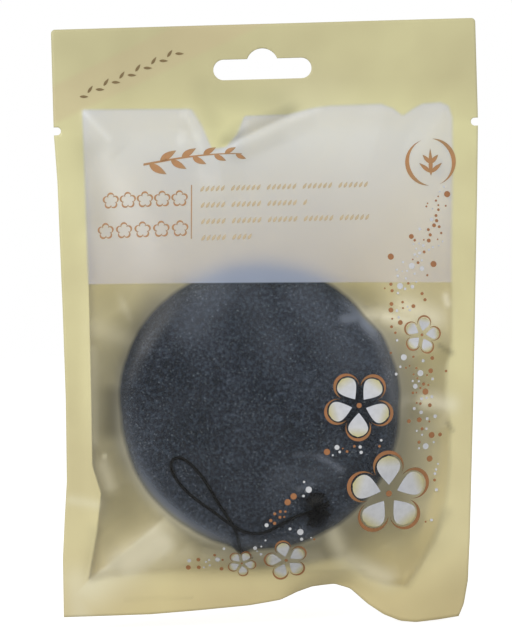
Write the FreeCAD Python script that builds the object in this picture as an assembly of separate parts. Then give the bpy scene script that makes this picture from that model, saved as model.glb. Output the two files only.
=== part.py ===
import FreeCAD, Part
import math
import os

# Konjac sponge on a hanging cord, heat sealed in a flat film pouch with a hanging slot.
# Millimetres. +Z is up, the front faces -Y and +X is to the right of someone who looks at the front.
# The origin is the centre of the hanging slot, in the plane where the two webs of film meet.

# Sponge: a round puff with a nearly flat front face and a domed back, seen along Y
SPONGE_DIAMETER = 88.6
SPONGE_FRONT = 13.0
SPONGE_BACK = 15.0
FRONT_CROWN_RADIUS = 415.0
FRONT_RIM_RADIUS = 9.0
BACK_RIM_RADIUS = 10.0

# Threading hole through the sponge, from the sponge's centre, with a dimple at each mouth
HOLE_RIGHT = 16.6
HOLE_DOWN = 30.8
HOLE_RADIUS = 1.1
FRONT_DIMPLE_DEPTH = 1.8
FRONT_DIMPLE_RADIUS = 6.0
BACK_DIMPLE_DEPTH = 1.2
BACK_DIMPLE_RADIUS = 3.0

# Cord: black cotton, tied into a loop through the threading hole
CORD_DIAMETER = 1.0
KNOT_CORE_RADIUS = 1.35
KNOT_RING_RADIUS = 1.25
KNOT_TILT_DEG = 24.0
KNOT_IN_FRONT_OF_DIMPLE = 0.25
SHARE_OF_RUN_IN_ARC = 0.45

# Film: two webs, a fused layer where they are sealed, and the air round the sponge
WEB_THICKNESS = 0.2
WEB_SPACING = 0.2
BOND_CLEARANCE = 0.04
FRONT_AIR_GAP = 2.6
BACK_AIR_GAP = 1.9

# Pouch: the room between the sponge and the seals, and the widths of the seals
ROOM_LEFT = 7.85
ROOM_RIGHT = 16.15
ROOM_ABOVE = 39.7
ROOM_BELOW = 6.1
CORNER_ROOM = 16.0
SIDE_SEAL_WIDTH = 8.5
BOTTOM_SEAL_WIDTH = 12.1
SEAL_SETBACK = 1.0
RIGHT_SLANT_DEG = 1.4
CORNER_SLANT_DEG = 22.5
CORNER_SHARPNESS = 10

# Header: the strip above the tear line, with the hanging slot, and its place on the pouch
SLOT_TO_MIDDLE = 0.55
HEADER_ABOVE_SLOT = 13.75
HEADER_SEAL_BELOW_SLOT = 12.0
TEAR_LINE_BELOW_SLOT = 17.6
CONTACT_BELOW_TEAR = 1.6
TEAR_GAP = 0.8
HEADER_CORNER_RADIUS = 1.2
NOTCH_DEPTH = 1.8
NOTCH_HEIGHT = 2.7

# Hanging slot: a long slot with round ends and a round bump over its middle
SLOT_LENGTH = 30.0
SLOT_HEIGHT = 6.3
BUMP_RADIUS = 4.9
BUMP_TOP = 6.3
BUMP_FILLET = 0.8

# Wave of the bottom seal, which bends back under the sponge and forward beside it
WAVE_BACK = 7.5
WAVE_FORWARD = 2.0
WAVE_BACK_PLACE_SHARE = 0.67
WAVE_BACK_WIDTH_SHARE = 0.085
WAVE_FORWARD_PLACE_SHARE = 0.89
WAVE_FORWARD_WIDTH_SHARE = 0.06

# Edges of the pouch below the tear line: share of the height, then inset as a share of the half width
LEFT_EDGE_SHARES = [(0, 0), (0.10, 0.011), (0.37, 0.019), (0.55, 0.022), (0.72, 0.016),
                    (0.79, 0.002), (0.88, -0.013), (1, -0.016)]
RIGHT_EDGE_SHARES = [(0, 0), (0.16, 0.015), (0.38, 0.038), (0.58, 0.059), (0.74, 0.079),
                     (0.86, 0.093), (0.94, 0.107), (0.98, 0.130), (1, 0.156)]

# Bottom edge: share of the width, then how far it lies above the left corner, in seal widths
BOTTOM_EDGE_SHARES = [(0, 0), (0.22, 0.015), (0.34, 0.08), (0.47, 0.17), (0.55, 0.28),
                      (0.59, 0.45), (0.63, 0.56), (0.69, 0.60), (0.73, 0.48), (0.77, 0.12),
                      (0.81, -0.15), (0.85, -0.31), (0.89, -0.35), (0.95, -0.31), (1, -0.25)]

# Counts of the film's control points across and down, and their degree
COLUMNS = 45
ROWS = 55
DEGREE = 3
PROFILE_STEPS = 90

# Route of the free cord, from the knot, left over the face, round the loop, over the lower rim
# and across the back to the threading hole, chosen by hand
CORD_ROUTE = [
    (12.0, -11.9, -134.4), (9.6, -12.2, -134.9), (5.6, -12.2, -136.1), (1.8, -12.1, -138.1),
    (-1.7, -11.9, -140.0), (-5.4, -11.7, -141.0), (-9.2, -11.8, -140.3), (-12.6, -12.0, -138.4),
    (-15.8, -12.1, -136.0), (-18.9, -12.3, -133.4), (-22.9, -12.3, -130.6), (-26.7, -12.3, -127.2),
    (-29.7, -12.3, -123.4), (-31.1, -12.4, -120.0), (-30.3, -12.5, -117.5), (-27.8, -12.7, -117.1),
    (-24.8, -12.8, -119.3), (-22.0, -12.8, -122.5), (-19.6, -12.8, -126.3), (-17.4, -13.0, -130.5),
    (-14.8, -13.3, -134.6), (-12.4, -13.2, -138.4), (-11.2, -11.6, -142.4), (-10.8, -7.4, -146.5),
    (-7.7, -2.6, -148.6), (-3.9, 2.8, -147.4), (0.5, 5.8, -144.7), (4.7, 7.3, -141.5),
    (8.3, 8.2, -138.0), (11.1, 8.7, -135.6), (12.5, 8.5, -134.4), (13.0, 7.6, -134.0),
    (13.0, 6.2, -134.0)]

# Routes of the two short tails that stand out of the knot
TAIL_ROUTES = [
    [(13.8, -11.9, -133.6), (15.3, -12.2, -132.9), (17.0, -12.2, -132.5)],
    [(13.1, -11.9, -134.9), (13.2, -12.0, -136.7), (13.8, -11.5, -138.5)]]

# Places worked out from the sizes above
SPONGE_RADIUS = SPONGE_DIAMETER / 2
CORD_RADIUS = CORD_DIAMETER / 2
CAVITY_WIDTH = ROOM_LEFT + SPONGE_DIAMETER + ROOM_RIGHT
POUCH_WIDTH = CAVITY_WIDTH + 2 * SIDE_SEAL_WIDTH
HALF_WIDTH = POUCH_WIDTH / 2
LEFT_X = SLOT_TO_MIDDLE - HALF_WIDTH
RIGHT_X = SLOT_TO_MIDDLE + HALF_WIDTH
SPONGE_X = LEFT_X + SIDE_SEAL_WIDTH + ROOM_LEFT + SPONGE_RADIUS
TEAR_Z = -TEAR_LINE_BELOW_SLOT
CONTACT_Z = TEAR_Z - CONTACT_BELOW_TEAR
SPONGE_Z = CONTACT_Z - ROOM_ABOVE - SPONGE_RADIUS
BOTTOM_SEAL_Z = SPONGE_Z - SPONGE_RADIUS - ROOM_BELOW
BOTTOM_Z = BOTTOM_SEAL_Z - BOTTOM_SEAL_WIDTH
HOLE_X = SPONGE_X + HOLE_RIGHT
HOLE_Z = SPONGE_Z - HOLE_DOWN
STACK_THICKNESS = 2 * WEB_THICKNESS + WEB_SPACING
BOND_THICKNESS = WEB_SPACING - 2 * BOND_CLEARANCE
OVERRUN = STACK_THICKNESS
ALONG_Y = FreeCAD.Vector(0, 1, 0)


# Height of one side of the sponge over the plane of the seals, with an even layer of air on it
class SideProfile:

    def __init__(self, depth, crown_radius, rim_radius, rim_height, gap):
        self.depth = depth
        self.crown_radius = crown_radius
        self.rim_radius = rim_radius
        self.rim_height = rim_height
        self.gap = gap
        self.rim_centre = SPONGE_RADIUS - rim_radius
        self.join_sine = self.rim_centre / (crown_radius - rim_radius)
        self.samples = self.points()

    def height(self, radius):
        if radius <= (self.crown_radius + self.gap) * self.join_sine:
            reach = self.crown_radius + self.gap
            return self.depth - self.crown_radius + math.sqrt(reach ** 2 - radius ** 2)
        inside = (self.rim_radius + self.gap) ** 2 - (radius - self.rim_centre) ** 2
        return self.rim_height + math.sqrt(max(inside, 0))

    def points(self):
        edge = SPONGE_RADIUS + self.gap
        steps = range(PROFILE_STEPS + 1)
        radii = [edge * math.sin(math.pi / 2 * step / PROFILE_STEPS) for step in steps]
        return [(radius, self.height(radius)) for radius in radii]

    # A taut film from the seal at this reach touches the profile where its slope is greatest
    def taut_height(self, radius, reach):
        if radius >= reach:
            return 0
        slope, touch = max((height / (reach - place), place) for place, height in self.samples)
        if radius < touch:
            return self.height(radius)
        return slope * (reach - radius)


# The front's rim height follows from its crown, and the back's dome from that rim
def sponge_sides(front_gap, back_gap):
    rim_centre = SPONGE_RADIUS - FRONT_RIM_RADIUS
    crown_reach = FRONT_CROWN_RADIUS - FRONT_RIM_RADIUS
    drop = FRONT_CROWN_RADIUS - math.sqrt(crown_reach ** 2 - rim_centre ** 2)
    widest = SPONGE_FRONT - drop
    back_centre = SPONGE_RADIUS - BACK_RIM_RADIUS
    back_depth = SPONGE_BACK + widest
    dome_radius = (back_centre ** 2 + back_depth ** 2 - BACK_RIM_RADIUS ** 2) / (
        2 * (back_depth - BACK_RIM_RADIUS))
    front = SideProfile(SPONGE_FRONT, FRONT_CROWN_RADIUS, FRONT_RIM_RADIUS, widest, front_gap)
    back = SideProfile(SPONGE_BACK, dome_radius, BACK_RIM_RADIUS, -widest, back_gap)
    return front, back


# Straight steps between the points of a table of shares
def value_at(table, place):
    for (start, low), (end, high) in zip(table, table[1:]):
        if place <= end:
            return low + (high - low) * (place - start) / (end - start)
    return table[-1][1]


def bell(place, middle, width):
    return math.exp(-((place - middle) / width) ** 2)


# Distance from the sponge's centre to the inner edge of the seals, towards (across, up)
def cavity_reach(across, up):
    slant = math.radians(RIGHT_SLANT_DEG)
    corner = math.radians(CORNER_SLANT_DEG)
    top_distance = ROOM_ABOVE + SPONGE_RADIUS
    right_distance = (SPONGE_RADIUS + ROOM_RIGHT) * math.cos(slant) - top_distance * math.sin(slant)
    sides = [
        (-1, 0, SPONGE_RADIUS + ROOM_LEFT),
        (0, 1, top_distance),
        (0, -1, SPONGE_RADIUS + ROOM_BELOW),
        (math.cos(slant), -math.sin(slant), right_distance),
        (math.cos(corner), -math.sin(corner), SPONGE_RADIUS + CORNER_ROOM)]
    total = 0
    for side_across, side_up, distance in sides:
        facing = max(side_across * across + side_up * up, 0)
        total = total + (facing / distance) ** CORNER_SHARPNESS
    return total ** (-1 / CORNER_SHARPNESS)


# How far a film stands off the plane of the seals over (x, z)
def film_rise(side, x, z):
    radius = math.hypot(x - SPONGE_X, z - SPONGE_Z)
    if radius == 0:
        return side.height(0)
    reach = cavity_reach((x - SPONGE_X) / radius, (z - SPONGE_Z) / radius)
    return side.taut_height(radius, reach)


# Place on the pouch at a share of its width and of its height below the tear line
def pouch_point(across, down):
    top = TEAR_Z - TEAR_GAP / 2
    left = LEFT_X + HALF_WIDTH * value_at(LEFT_EDGE_SHARES, down)
    right = RIGHT_X - HALF_WIDTH * value_at(RIGHT_EDGE_SHARES, down)
    seal_down = (top - BOTTOM_SEAL_Z) / (top - BOTTOM_Z)
    in_seal = max(down - seal_down, 0) / (1 - seal_down)
    x = left + (right - left) * across
    lift = BOTTOM_SEAL_WIDTH * value_at(BOTTOM_EDGE_SHARES, across)
    z = top + (BOTTOM_Z - top) * down + lift * in_seal
    back = WAVE_BACK * bell(across, WAVE_BACK_PLACE_SHARE, WAVE_BACK_WIDTH_SHARE)
    forward = WAVE_FORWARD * bell(across, WAVE_FORWARD_PLACE_SHARE, WAVE_FORWARD_WIDTH_SHARE)
    return x, (back - forward) * in_seal, z


# Knots of a clamped even B-spline on 0 to 1, and the shares at which its control points stand
def even_knots(count):
    spans = count - DEGREE
    knots = [span / spans for span in range(spans + 1)]
    multiplicities = [DEGREE + 1] + [1] * (spans - 1) + [DEGREE + 1]
    return knots, multiplicities


def control_shares(count):
    knots, multiplicities = even_knots(count)
    full = [knot for knot, times in zip(knots, multiplicities) for _ in range(times)]
    return [sum(full[place + 1:place + 1 + DEGREE]) / DEGREE for place in range(count)]


# Smooth surface over the whole pouch, shifted along Y by a rule of its place
def pouch_surface(shift_at):
    poles = []
    for across in control_shares(COLUMNS):
        column = []
        for down in control_shares(ROWS):
            x, middle, z = pouch_point(across, down)
            column.append(FreeCAD.Vector(x, middle + shift_at(x, z), z))
        poles.append(column)
    across_knots, across_multiplicities = even_knots(COLUMNS)
    down_knots, down_multiplicities = even_knots(ROWS)
    surface = Part.BSplineSurface()
    surface.buildFromPolesMultsKnots(
        poles, across_multiplicities, down_multiplicities, across_knots, down_knots,
        False, False, DEGREE, DEGREE)
    return surface


# The tear notches, a sharp V in each side edge at the tear line
def notches():
    cutters = []
    for edge_x, inward in ((LEFT_X, 1), (RIGHT_X, -1)):
        tip = FreeCAD.Vector(edge_x + inward * NOTCH_DEPTH, -OVERRUN, TEAR_Z)
        outside = edge_x - inward * NOTCH_DEPTH
        corners = [tip]
        for side in (1, -1):
            corners.append(FreeCAD.Vector(outside, -OVERRUN, TEAR_Z + side * NOTCH_HEIGHT))
        outline = Part.makePolygon(corners + [tip])
        cutters.append(Part.Face(outline).extrude(ALONG_Y * (2 * OVERRUN)))
    return cutters[0].fuse(cutters[1])


# One web of the pouch below the tear line: a taut sheet over one side of the sponge
def pouch_web(side, facing):
    inner = WEB_SPACING / 2
    surface = pouch_surface(lambda x, z: facing * (inner + film_rise(side, x, z)))
    web = surface.toShape().extrude(ALONG_Y * (facing * WEB_THICKNESS))
    return web.cut(notches())


# Fused layer between the webs, over a span of the width and of the height
def seal_strip(across_from, across_to, down_from, down_to):
    surface = pouch_surface(lambda x, z: -BOND_THICKNESS / 2)
    surface.segment(across_from, across_to, down_from, down_to)
    return surface.toShape().extrude(ALONG_Y * BOND_THICKNESS)


def pouch_seals():
    side_share = (SIDE_SEAL_WIDTH - SEAL_SETBACK) / POUCH_WIDTH
    height = TEAR_Z - TEAR_GAP / 2 - BOTTOM_Z
    bottom_share = 1 - (BOTTOM_SEAL_WIDTH - SEAL_SETBACK) / height
    split_share = bottom_share - BOND_CLEARANCE / height
    left = seal_strip(0, side_share, 0, split_share).cut(notches())
    right = seal_strip(1 - side_share, 1, 0, split_share).cut(notches())
    return left, right, seal_strip(0, 1, bottom_share, 1)


# Cutter for the hanging slot, with its bump blended into the slot's top
def slot_cutter():
    half_height = SLOT_HEIGHT / 2
    straight = SLOT_LENGTH / 2 - half_height
    corner = FreeCAD.Vector(-straight, -OVERRUN, -half_height)
    cutter = Part.makeBox(2 * straight, 2 * OVERRUN, SLOT_HEIGHT, corner)
    for centre_x, centre_z, radius in ((-straight, 0, half_height), (straight, 0, half_height),
                                       (0, BUMP_TOP - BUMP_RADIUS, BUMP_RADIUS)):
        centre = FreeCAD.Vector(centre_x, -OVERRUN, centre_z)
        cutter = cutter.fuse(Part.makeCylinder(radius, 2 * OVERRUN, centre, ALONG_Y))
    cutter = cutter.removeSplitter()
    rise = half_height - (BUMP_TOP - BUMP_RADIUS)
    chord = math.sqrt(BUMP_RADIUS ** 2 - rise ** 2)
    inner_corners = []
    for edge in cutter.Edges:
        middle = edge.CenterOfMass
        at_corner = abs(abs(middle.x) - chord) + abs(middle.z - half_height) < BUMP_FILLET / 2
        if at_corner and abs(middle.y) < OVERRUN / 2:
            inner_corners.append(edge)
    return cutter.makeFillet(BUMP_FILLET, inner_corners)


# Flat header layer from y_start, as thick as asked, down to the tear line
def header_layer(y_start, thickness):
    bottom = TEAR_Z + TEAR_GAP / 2
    corner = FreeCAD.Vector(LEFT_X, y_start, bottom)
    layer = Part.makeBox(POUCH_WIDTH, thickness, HEADER_ABOVE_SLOT - bottom, corner)
    top_corners = []
    for edge in layer.Edges:
        middle = edge.CenterOfMass
        sideways = abs(middle.x - SLOT_TO_MIDDLE) > HALF_WIDTH - OVERRUN
        along_y = y_start < middle.y < y_start + thickness
        if sideways and along_y and middle.z > 0:
            top_corners.append(edge)
    layer = layer.makeFillet(HEADER_CORNER_RADIUS, top_corners)
    return layer.cut(slot_cutter()).cut(notches())


# The header's fused layer leaves the webs apart between the side seals, next to the tear line
def header_seal():
    layer = header_layer(-BOND_THICKNESS / 2, BOND_THICKNESS)
    inset = SIDE_SEAL_WIDTH - SEAL_SETBACK
    open_height = TEAR_LINE_BELOW_SLOT - HEADER_SEAL_BELOW_SLOT
    corner = FreeCAD.Vector(LEFT_X + inset, -OVERRUN, TEAR_Z)
    return layer.cut(Part.makeBox(POUCH_WIDTH - 2 * inset, 2 * OVERRUN, open_height, corner))


# Point of the sponge's outline at a radius, drawn to the right of its centre
def profile_point(radius, y):
    return FreeCAD.Vector(SPONGE_X + radius, y, SPONGE_Z)


# Two arcs of one side, from the pole to the widest ring
def profile_arcs(side, facing):
    join = side.join_sine * side.crown_radius
    half_join = join / 2
    turn = (math.asin(side.join_sine) + math.pi / 2) / 2
    middle_radius = side.rim_centre + side.rim_radius * math.sin(turn)
    middle_height = side.rim_height + side.rim_radius * math.cos(turn)
    pole = profile_point(0, facing * side.depth)
    crown_middle = profile_point(half_join, facing * side.height(half_join))
    join_point = profile_point(join, facing * side.height(join))
    rim_middle = profile_point(middle_radius, facing * middle_height)
    widest = profile_point(SPONGE_RADIUS, facing * side.rim_height)
    return [Part.Arc(pole, crown_middle, join_point).toShape(),
            Part.Arc(join_point, rim_middle, widest).toShape()]


def sponge():
    front, back = sponge_sides(0, 0)
    axis = Part.makeLine(profile_point(0, -SPONGE_FRONT), profile_point(0, SPONGE_BACK))
    edges = profile_arcs(front, -1) + profile_arcs(back, 1) + [axis]
    outline = Part.Wire(Part.__sortEdges__(edges))
    puff = Part.Face(outline).revolve(profile_point(0, 0), ALONG_Y, 360)
    mouth_radius = math.hypot(HOLE_RIGHT, HOLE_DOWN)
    front_y = -front.height(mouth_radius)
    back_y = back.height(mouth_radius)
    start = FreeCAD.Vector(HOLE_X, -SPONGE_FRONT, HOLE_Z)
    puff = puff.cut(Part.makeCylinder(HOLE_RADIUS, SPONGE_FRONT + SPONGE_BACK, start, ALONG_Y))
    front_centre = front_y + FRONT_DIMPLE_DEPTH - FRONT_DIMPLE_RADIUS
    back_centre = back_y - BACK_DIMPLE_DEPTH + BACK_DIMPLE_RADIUS
    for radius, centre_y in ((FRONT_DIMPLE_RADIUS, front_centre), (BACK_DIMPLE_RADIUS, back_centre)):
        puff = puff.cut(Part.makeSphere(radius, FreeCAD.Vector(HOLE_X, centre_y, HOLE_Z)))
    return puff


# Round tube along straight runs joined by tangent arcs, with its radii printed
def tube(name, route, radius):
    points = [FreeCAD.Vector(*place) for place in route]
    edges = []
    radii = []
    start = points[0]
    for before, corner, after in zip(points, points[1:], points[2:]):
        arriving = (corner - before).normalize()
        leaving = (after - corner).normalize()
        half_turn = arriving.getAngle(leaving) / 2
        shorter = min((corner - before).Length, (after - corner).Length)
        cut_back = SHARE_OF_RUN_IN_ARC * shorter
        bend = cut_back / math.tan(half_turn)
        inward = (leaving - arriving).normalize()
        middle = corner + inward * (bend / math.cos(half_turn) - bend)
        arc_start = corner - arriving * cut_back
        arc_end = corner + leaving * cut_back
        edges.append(Part.LineSegment(start, arc_start).toShape())
        edges.append(Part.Arc(arc_start, middle, arc_end).toShape())
        radii.append(bend)
        start = arc_end
    edges.append(Part.LineSegment(start, points[-1]).toShape())
    path = Part.Wire(edges)
    section = Part.Circle(points[0], points[1] - points[0], radius)
    solid = path.makePipeShell([Part.Wire(section.toShape())], True, False)
    plain_volume = math.pi * radius ** 2 * path.Length
    print(name, "length", round(path.Length, 1), "mm, bend radii", [round(bend, 1) for bend in radii])
    print(name, "volume over section times length", round(solid.Volume / plain_volume, 4))
    return solid


# Straight stretch of the cord inside the sponge, from the knot to the back mouth
def cord_through():
    start = FreeCAD.Vector(HOLE_X, knot_y(), HOLE_Z)
    length = CORD_ROUTE[-1][1] - start.y
    return Part.makeCylinder(CORD_RADIUS, length, start, ALONG_Y)


# The knot sits in the front dimple, clear of its floor
def knot_y():
    front, _ = sponge_sides(0, 0)
    floor = -front.height(math.hypot(HOLE_RIGHT, HOLE_DOWN)) + FRONT_DIMPLE_DEPTH
    return floor - KNOT_IN_FRONT_OF_DIMPLE - KNOT_RING_RADIUS - CORD_RADIUS


# Knot: a round core with two crossed turns of the cord
def knot():
    centre = FreeCAD.Vector(HOLE_X, knot_y(), HOLE_Z)
    body = Part.makeSphere(KNOT_CORE_RADIUS, centre)
    for lean in (KNOT_TILT_DEG, -KNOT_TILT_DEG):
        tilt = math.radians(lean)
        across = FreeCAD.Vector(math.cos(tilt), 0, math.sin(tilt))
        body = body.fuse(Part.makeTorus(KNOT_RING_RADIUS, CORD_RADIUS, centre, across))
    return body


def knot_tails():
    return Part.makeCompound([tube("knot tail", route, CORD_RADIUS) for route in TAIL_ROUTES])


def build():
    front_side, back_side = sponge_sides(FRONT_AIR_GAP, BACK_AIR_GAP)
    left_seal, right_seal, bottom_seal = pouch_seals()
    web_start = WEB_SPACING / 2
    return {
        "header_front_film": header_layer(-web_start - WEB_THICKNESS, WEB_THICKNESS),
        "header_back_film": header_layer(web_start, WEB_THICKNESS),
        "header_seal": header_seal(),
        "front_film": pouch_web(front_side, -1),
        "back_film": pouch_web(back_side, 1),
        "left_seal": left_seal,
        "right_seal": right_seal,
        "bottom_seal": bottom_seal,
        "sponge": sponge(),
        "cord": tube("cord", CORD_ROUTE, CORD_RADIUS),
        "cord_through": cord_through(),
        "knot": knot(),
        "knot_tails": knot_tails(),
    }


os.makedirs("parts", exist_ok=True)
for node, shape in build().items():
    shape.exportStep("parts/" + node + ".step")
    box = shape.BoundBox
    corners = [round(value, 2) for value in (box.XMin, box.YMin, box.ZMin, box.XMax, box.YMax, box.ZMax)]
    print(node, "valid", shape.isValid(), "solids", len(shape.Solids), "volume", round(shape.Volume, 1),
          "box", corners)
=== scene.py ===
# %% [markdown]
# # Konjac sponge in a hanging pouch
# A round charcoal-coloured puff on a black cotton loop, heat sealed in a flat pouch of film with a
# hanging slot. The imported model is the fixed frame: every piece here is in metres, in its place, and
# rides on one of its bodies. The front faces -Y, +Z is up and +X is to the right.

# %% Load the frame
import math
import random

import bmesh
import bpy
import numpy as np
from mathutils import Matrix, Vector, noise
from mathutils.bvhtree import BVHTree


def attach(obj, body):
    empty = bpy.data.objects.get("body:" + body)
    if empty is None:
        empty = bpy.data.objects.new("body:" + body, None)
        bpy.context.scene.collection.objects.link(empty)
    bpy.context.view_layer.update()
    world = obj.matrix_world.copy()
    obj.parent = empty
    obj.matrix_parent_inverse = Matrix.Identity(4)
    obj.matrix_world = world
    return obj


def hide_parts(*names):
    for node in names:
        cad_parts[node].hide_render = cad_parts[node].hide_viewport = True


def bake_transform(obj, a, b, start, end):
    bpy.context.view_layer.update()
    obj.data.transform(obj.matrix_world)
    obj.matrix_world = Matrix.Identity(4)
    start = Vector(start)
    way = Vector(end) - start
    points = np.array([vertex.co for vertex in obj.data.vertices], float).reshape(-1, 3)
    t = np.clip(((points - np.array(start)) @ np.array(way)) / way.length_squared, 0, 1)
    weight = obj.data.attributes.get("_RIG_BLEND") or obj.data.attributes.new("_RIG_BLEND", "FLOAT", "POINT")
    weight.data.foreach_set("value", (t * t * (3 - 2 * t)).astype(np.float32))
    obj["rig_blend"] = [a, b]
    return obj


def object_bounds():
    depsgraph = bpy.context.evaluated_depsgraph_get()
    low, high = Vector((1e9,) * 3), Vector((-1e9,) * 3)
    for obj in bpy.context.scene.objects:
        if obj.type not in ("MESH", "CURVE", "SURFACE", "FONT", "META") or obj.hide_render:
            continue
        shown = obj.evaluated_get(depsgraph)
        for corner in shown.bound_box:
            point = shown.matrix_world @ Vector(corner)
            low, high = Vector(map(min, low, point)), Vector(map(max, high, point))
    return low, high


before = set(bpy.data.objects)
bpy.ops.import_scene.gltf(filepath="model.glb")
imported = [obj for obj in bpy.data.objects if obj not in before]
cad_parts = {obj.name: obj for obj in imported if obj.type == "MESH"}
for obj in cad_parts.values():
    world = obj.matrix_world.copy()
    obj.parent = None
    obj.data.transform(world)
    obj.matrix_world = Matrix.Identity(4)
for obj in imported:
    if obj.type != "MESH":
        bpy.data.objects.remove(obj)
cad_low, cad_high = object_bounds()
MM = 0.001
print("packed box in mm", [round(value / MM, 1) for value in (*cad_low, *cad_high)])

# %% [markdown]
# ## Small tools
# Colours are written as the sRGB hex codes that a colour picker shows, and one function turns them
# to the linear values that shaders use. Materials could be drawn by hand in the node editor. Here
# one function adds a node with its settings and its links, so that a material reads from top to
# bottom: a node given as an input stands for its first output.

# %% Colour and node helpers
def linear(code):
    shares = [int(code[place:place + 2], 16) / 255 for place in (1, 3, 5)]
    return [share / 12.92 if share <= 0.04045 else ((share + 0.055) / 1.055) ** 2.4
            for share in shares] + [1]


def add(tree, kind, settings=None, inputs=None, stops=None):
    node = tree.nodes.new(kind)
    for name, value in (settings or {}).items():
        setattr(node, name, value)
    for name, value in (inputs or {}).items():
        if isinstance(value, bpy.types.Node):
            value = value.outputs[0]
        if isinstance(value, bpy.types.NodeSocket):
            tree.links.new(value, node.inputs[name])
        else:
            node.inputs[name].default_value = value
    for place, (at, value) in enumerate(stops or []):
        ramp = node.color_ramp.elements
        stop = ramp[place] if place < 2 else ramp.new(at)
        stop.position = at
        stop.color = value
    return node


def start_material(name):
    material = bpy.data.materials.new(name)
    material.use_nodes = True
    material.node_tree.nodes.clear()
    return material, material.node_tree


def finish_material(material, surface):
    add(material.node_tree, "ShaderNodeOutputMaterial", inputs={"Surface": surface})
    print("material", material.name, "of", len(material.node_tree.nodes), "nodes")


print("middle grey is", round(linear("#808080")[0], 3), "of full light")

# %% [markdown]
# Pieces could be modelled with Blender's edit mode operators, but those depend on what is selected.
# They are built in bmesh, which needs no selection or mode, and one function turns a bmesh into a
# piece at the origin. Where a modifier does part of the work, its result is read back as the
# piece's mesh.

# %% Piece helpers
def put(name, data):
    made = bpy.data.objects.new(name, data)
    bpy.context.scene.collection.objects.link(made)
    return made


def piece(name, form, materials, smooth=True):
    mesh = bpy.data.meshes.new(name)
    form.to_mesh(mesh)
    form.free()
    for material in materials:
        mesh.materials.append(material)
    mesh.polygons.foreach_set("use_smooth", [smooth] * len(mesh.polygons))
    return put(name, mesh)


def evaluated_mesh(holder, **options):
    bpy.context.view_layer.update()
    graph = bpy.context.evaluated_depsgraph_get()
    return bpy.data.meshes.new_from_object(holder.evaluated_get(graph), depsgraph=graph, **options)


def cut(made, cutter):
    punch = made.modifiers.new("cut", "BOOLEAN")
    punch.object = cutter
    punch.solver = "EXACT"
    mesh = evaluated_mesh(made, preserve_all_data_layers=True)
    made.modifiers.clear()
    made.data = mesh
    mesh.name = made.name


def say(made):
    corners = [[round(value / MM, 1) for value in corner] for corner in made.bound_box]
    print(made.name, len(made.data.vertices), "vertices, from", corners[0], "to", corners[6])


print("units of a metre, sizes told in millimetres")

# %% [markdown]
# ## Camera
# The photograph looks straight at the front of the pouch from a normal working distance, so the far
# edges hardly narrow. The camera could be flat, without perspective, but the domed pouch shows a
# little of it. The real sizes give the lens: 195.5 mm of height fill the frame at 0.7 m. The pouch
# stands 1.6 degrees askew in the photograph. The camera's roll gives that, so that the pouch itself
# stays upright.

# %% Camera
CAMERA_DISTANCE = 0.7
FRAME_HEIGHT = 0.1955
SENSOR = 36
AIM = Vector((-4.1, 0, -76.6)) * MM
ROLL_DEG = 1.6
NEAREST_SEEN = 0.01

camera = put("camera", bpy.data.cameras.new("camera"))
bpy.context.scene.camera = camera
camera.data.sensor_width = SENSOR
camera.data.lens = SENSOR * CAMERA_DISTANCE / FRAME_HEIGHT
camera.data.clip_start = NEAREST_SEEN
roll = math.radians(ROLL_DEG)
right = Vector((math.cos(roll), 0, -math.sin(roll)))
up = Vector((math.sin(roll), 0, math.cos(roll)))
back = Vector((0, -1, 0))
camera.matrix_world = Matrix.Translation(AIM + back * CAMERA_DISTANCE) @ Matrix(
    (right, up, back)).transposed().to_4x4()
print("lens", round(camera.data.lens, 1), "mm")

# %% [markdown]
# ## Cord
# The loop is black cotton yarn about 1 mm thick, three strands twisted together. It leaves the knot,
# lies loosely over the face of the puff, goes over the lower rim and comes back up behind to the
# threading hole. Its line is one NURBS spline led by the listed points. It could carry a round
# bevel and be the cord at once, but a plain tube has no twist to catch the light, so three strands
# are wound round the points that Blender works out on that spline.

# %% Route of the cord
CORD_DIAMETER = 1.0 * MM
CORD_ROUTE = [
    (12.0, -11.9, -134.4), (9.6, -12.2, -134.9), (5.6, -12.2, -136.1), (1.8, -12.1, -138.1),
    (-1.7, -11.9, -140.0), (-5.4, -11.7, -141.0), (-9.2, -11.8, -140.3), (-12.6, -12.0, -138.4),
    (-15.8, -12.1, -136.0), (-18.9, -12.3, -133.4), (-22.9, -12.3, -130.6), (-26.7, -12.3, -127.2),
    (-29.7, -12.3, -123.4), (-31.1, -12.4, -120.0), (-30.3, -12.5, -117.5), (-27.8, -12.7, -117.1),
    (-24.8, -12.8, -119.3), (-22.0, -12.8, -122.5), (-19.6, -12.8, -126.3), (-17.4, -13.0, -130.5),
    (-14.8, -13.3, -134.6), (-12.4, -13.2, -138.4), (-11.2, -11.6, -142.4), (-10.8, -7.4, -146.5),
    (-7.7, -2.6, -148.6), (-3.9, 2.8, -147.4), (0.5, 5.8, -144.7), (4.7, 7.3, -141.5),
    (8.3, 8.2, -138.0), (11.1, 8.7, -135.6), (12.5, 8.5, -134.4), (13.0, 7.6, -134.0),
    (13.0, 6.2, -134.0)]


def curve_mesh(name, curve):
    holder = put(name, curve)
    mesh = evaluated_mesh(holder)
    bpy.data.objects.remove(holder)
    return mesh


def spline_points(name, route, closed=False, steps=8):
    curve = bpy.data.curves.new(name, "CURVE")
    curve.dimensions = "3D"
    curve.resolution_u = steps
    spline = curve.splines.new("NURBS")
    spline.points.add(len(route) - 1)
    for point, place in zip(spline.points, route):
        point.co = (*(Vector(place) * MM), 1)
    spline.order_u = 3
    spline.use_endpoint_u = not closed
    spline.use_cyclic_u = closed
    return [vertex.co.copy() for vertex in curve_mesh(name, curve).vertices]


cord_line = spline_points("cord_route", CORD_ROUTE)

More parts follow.
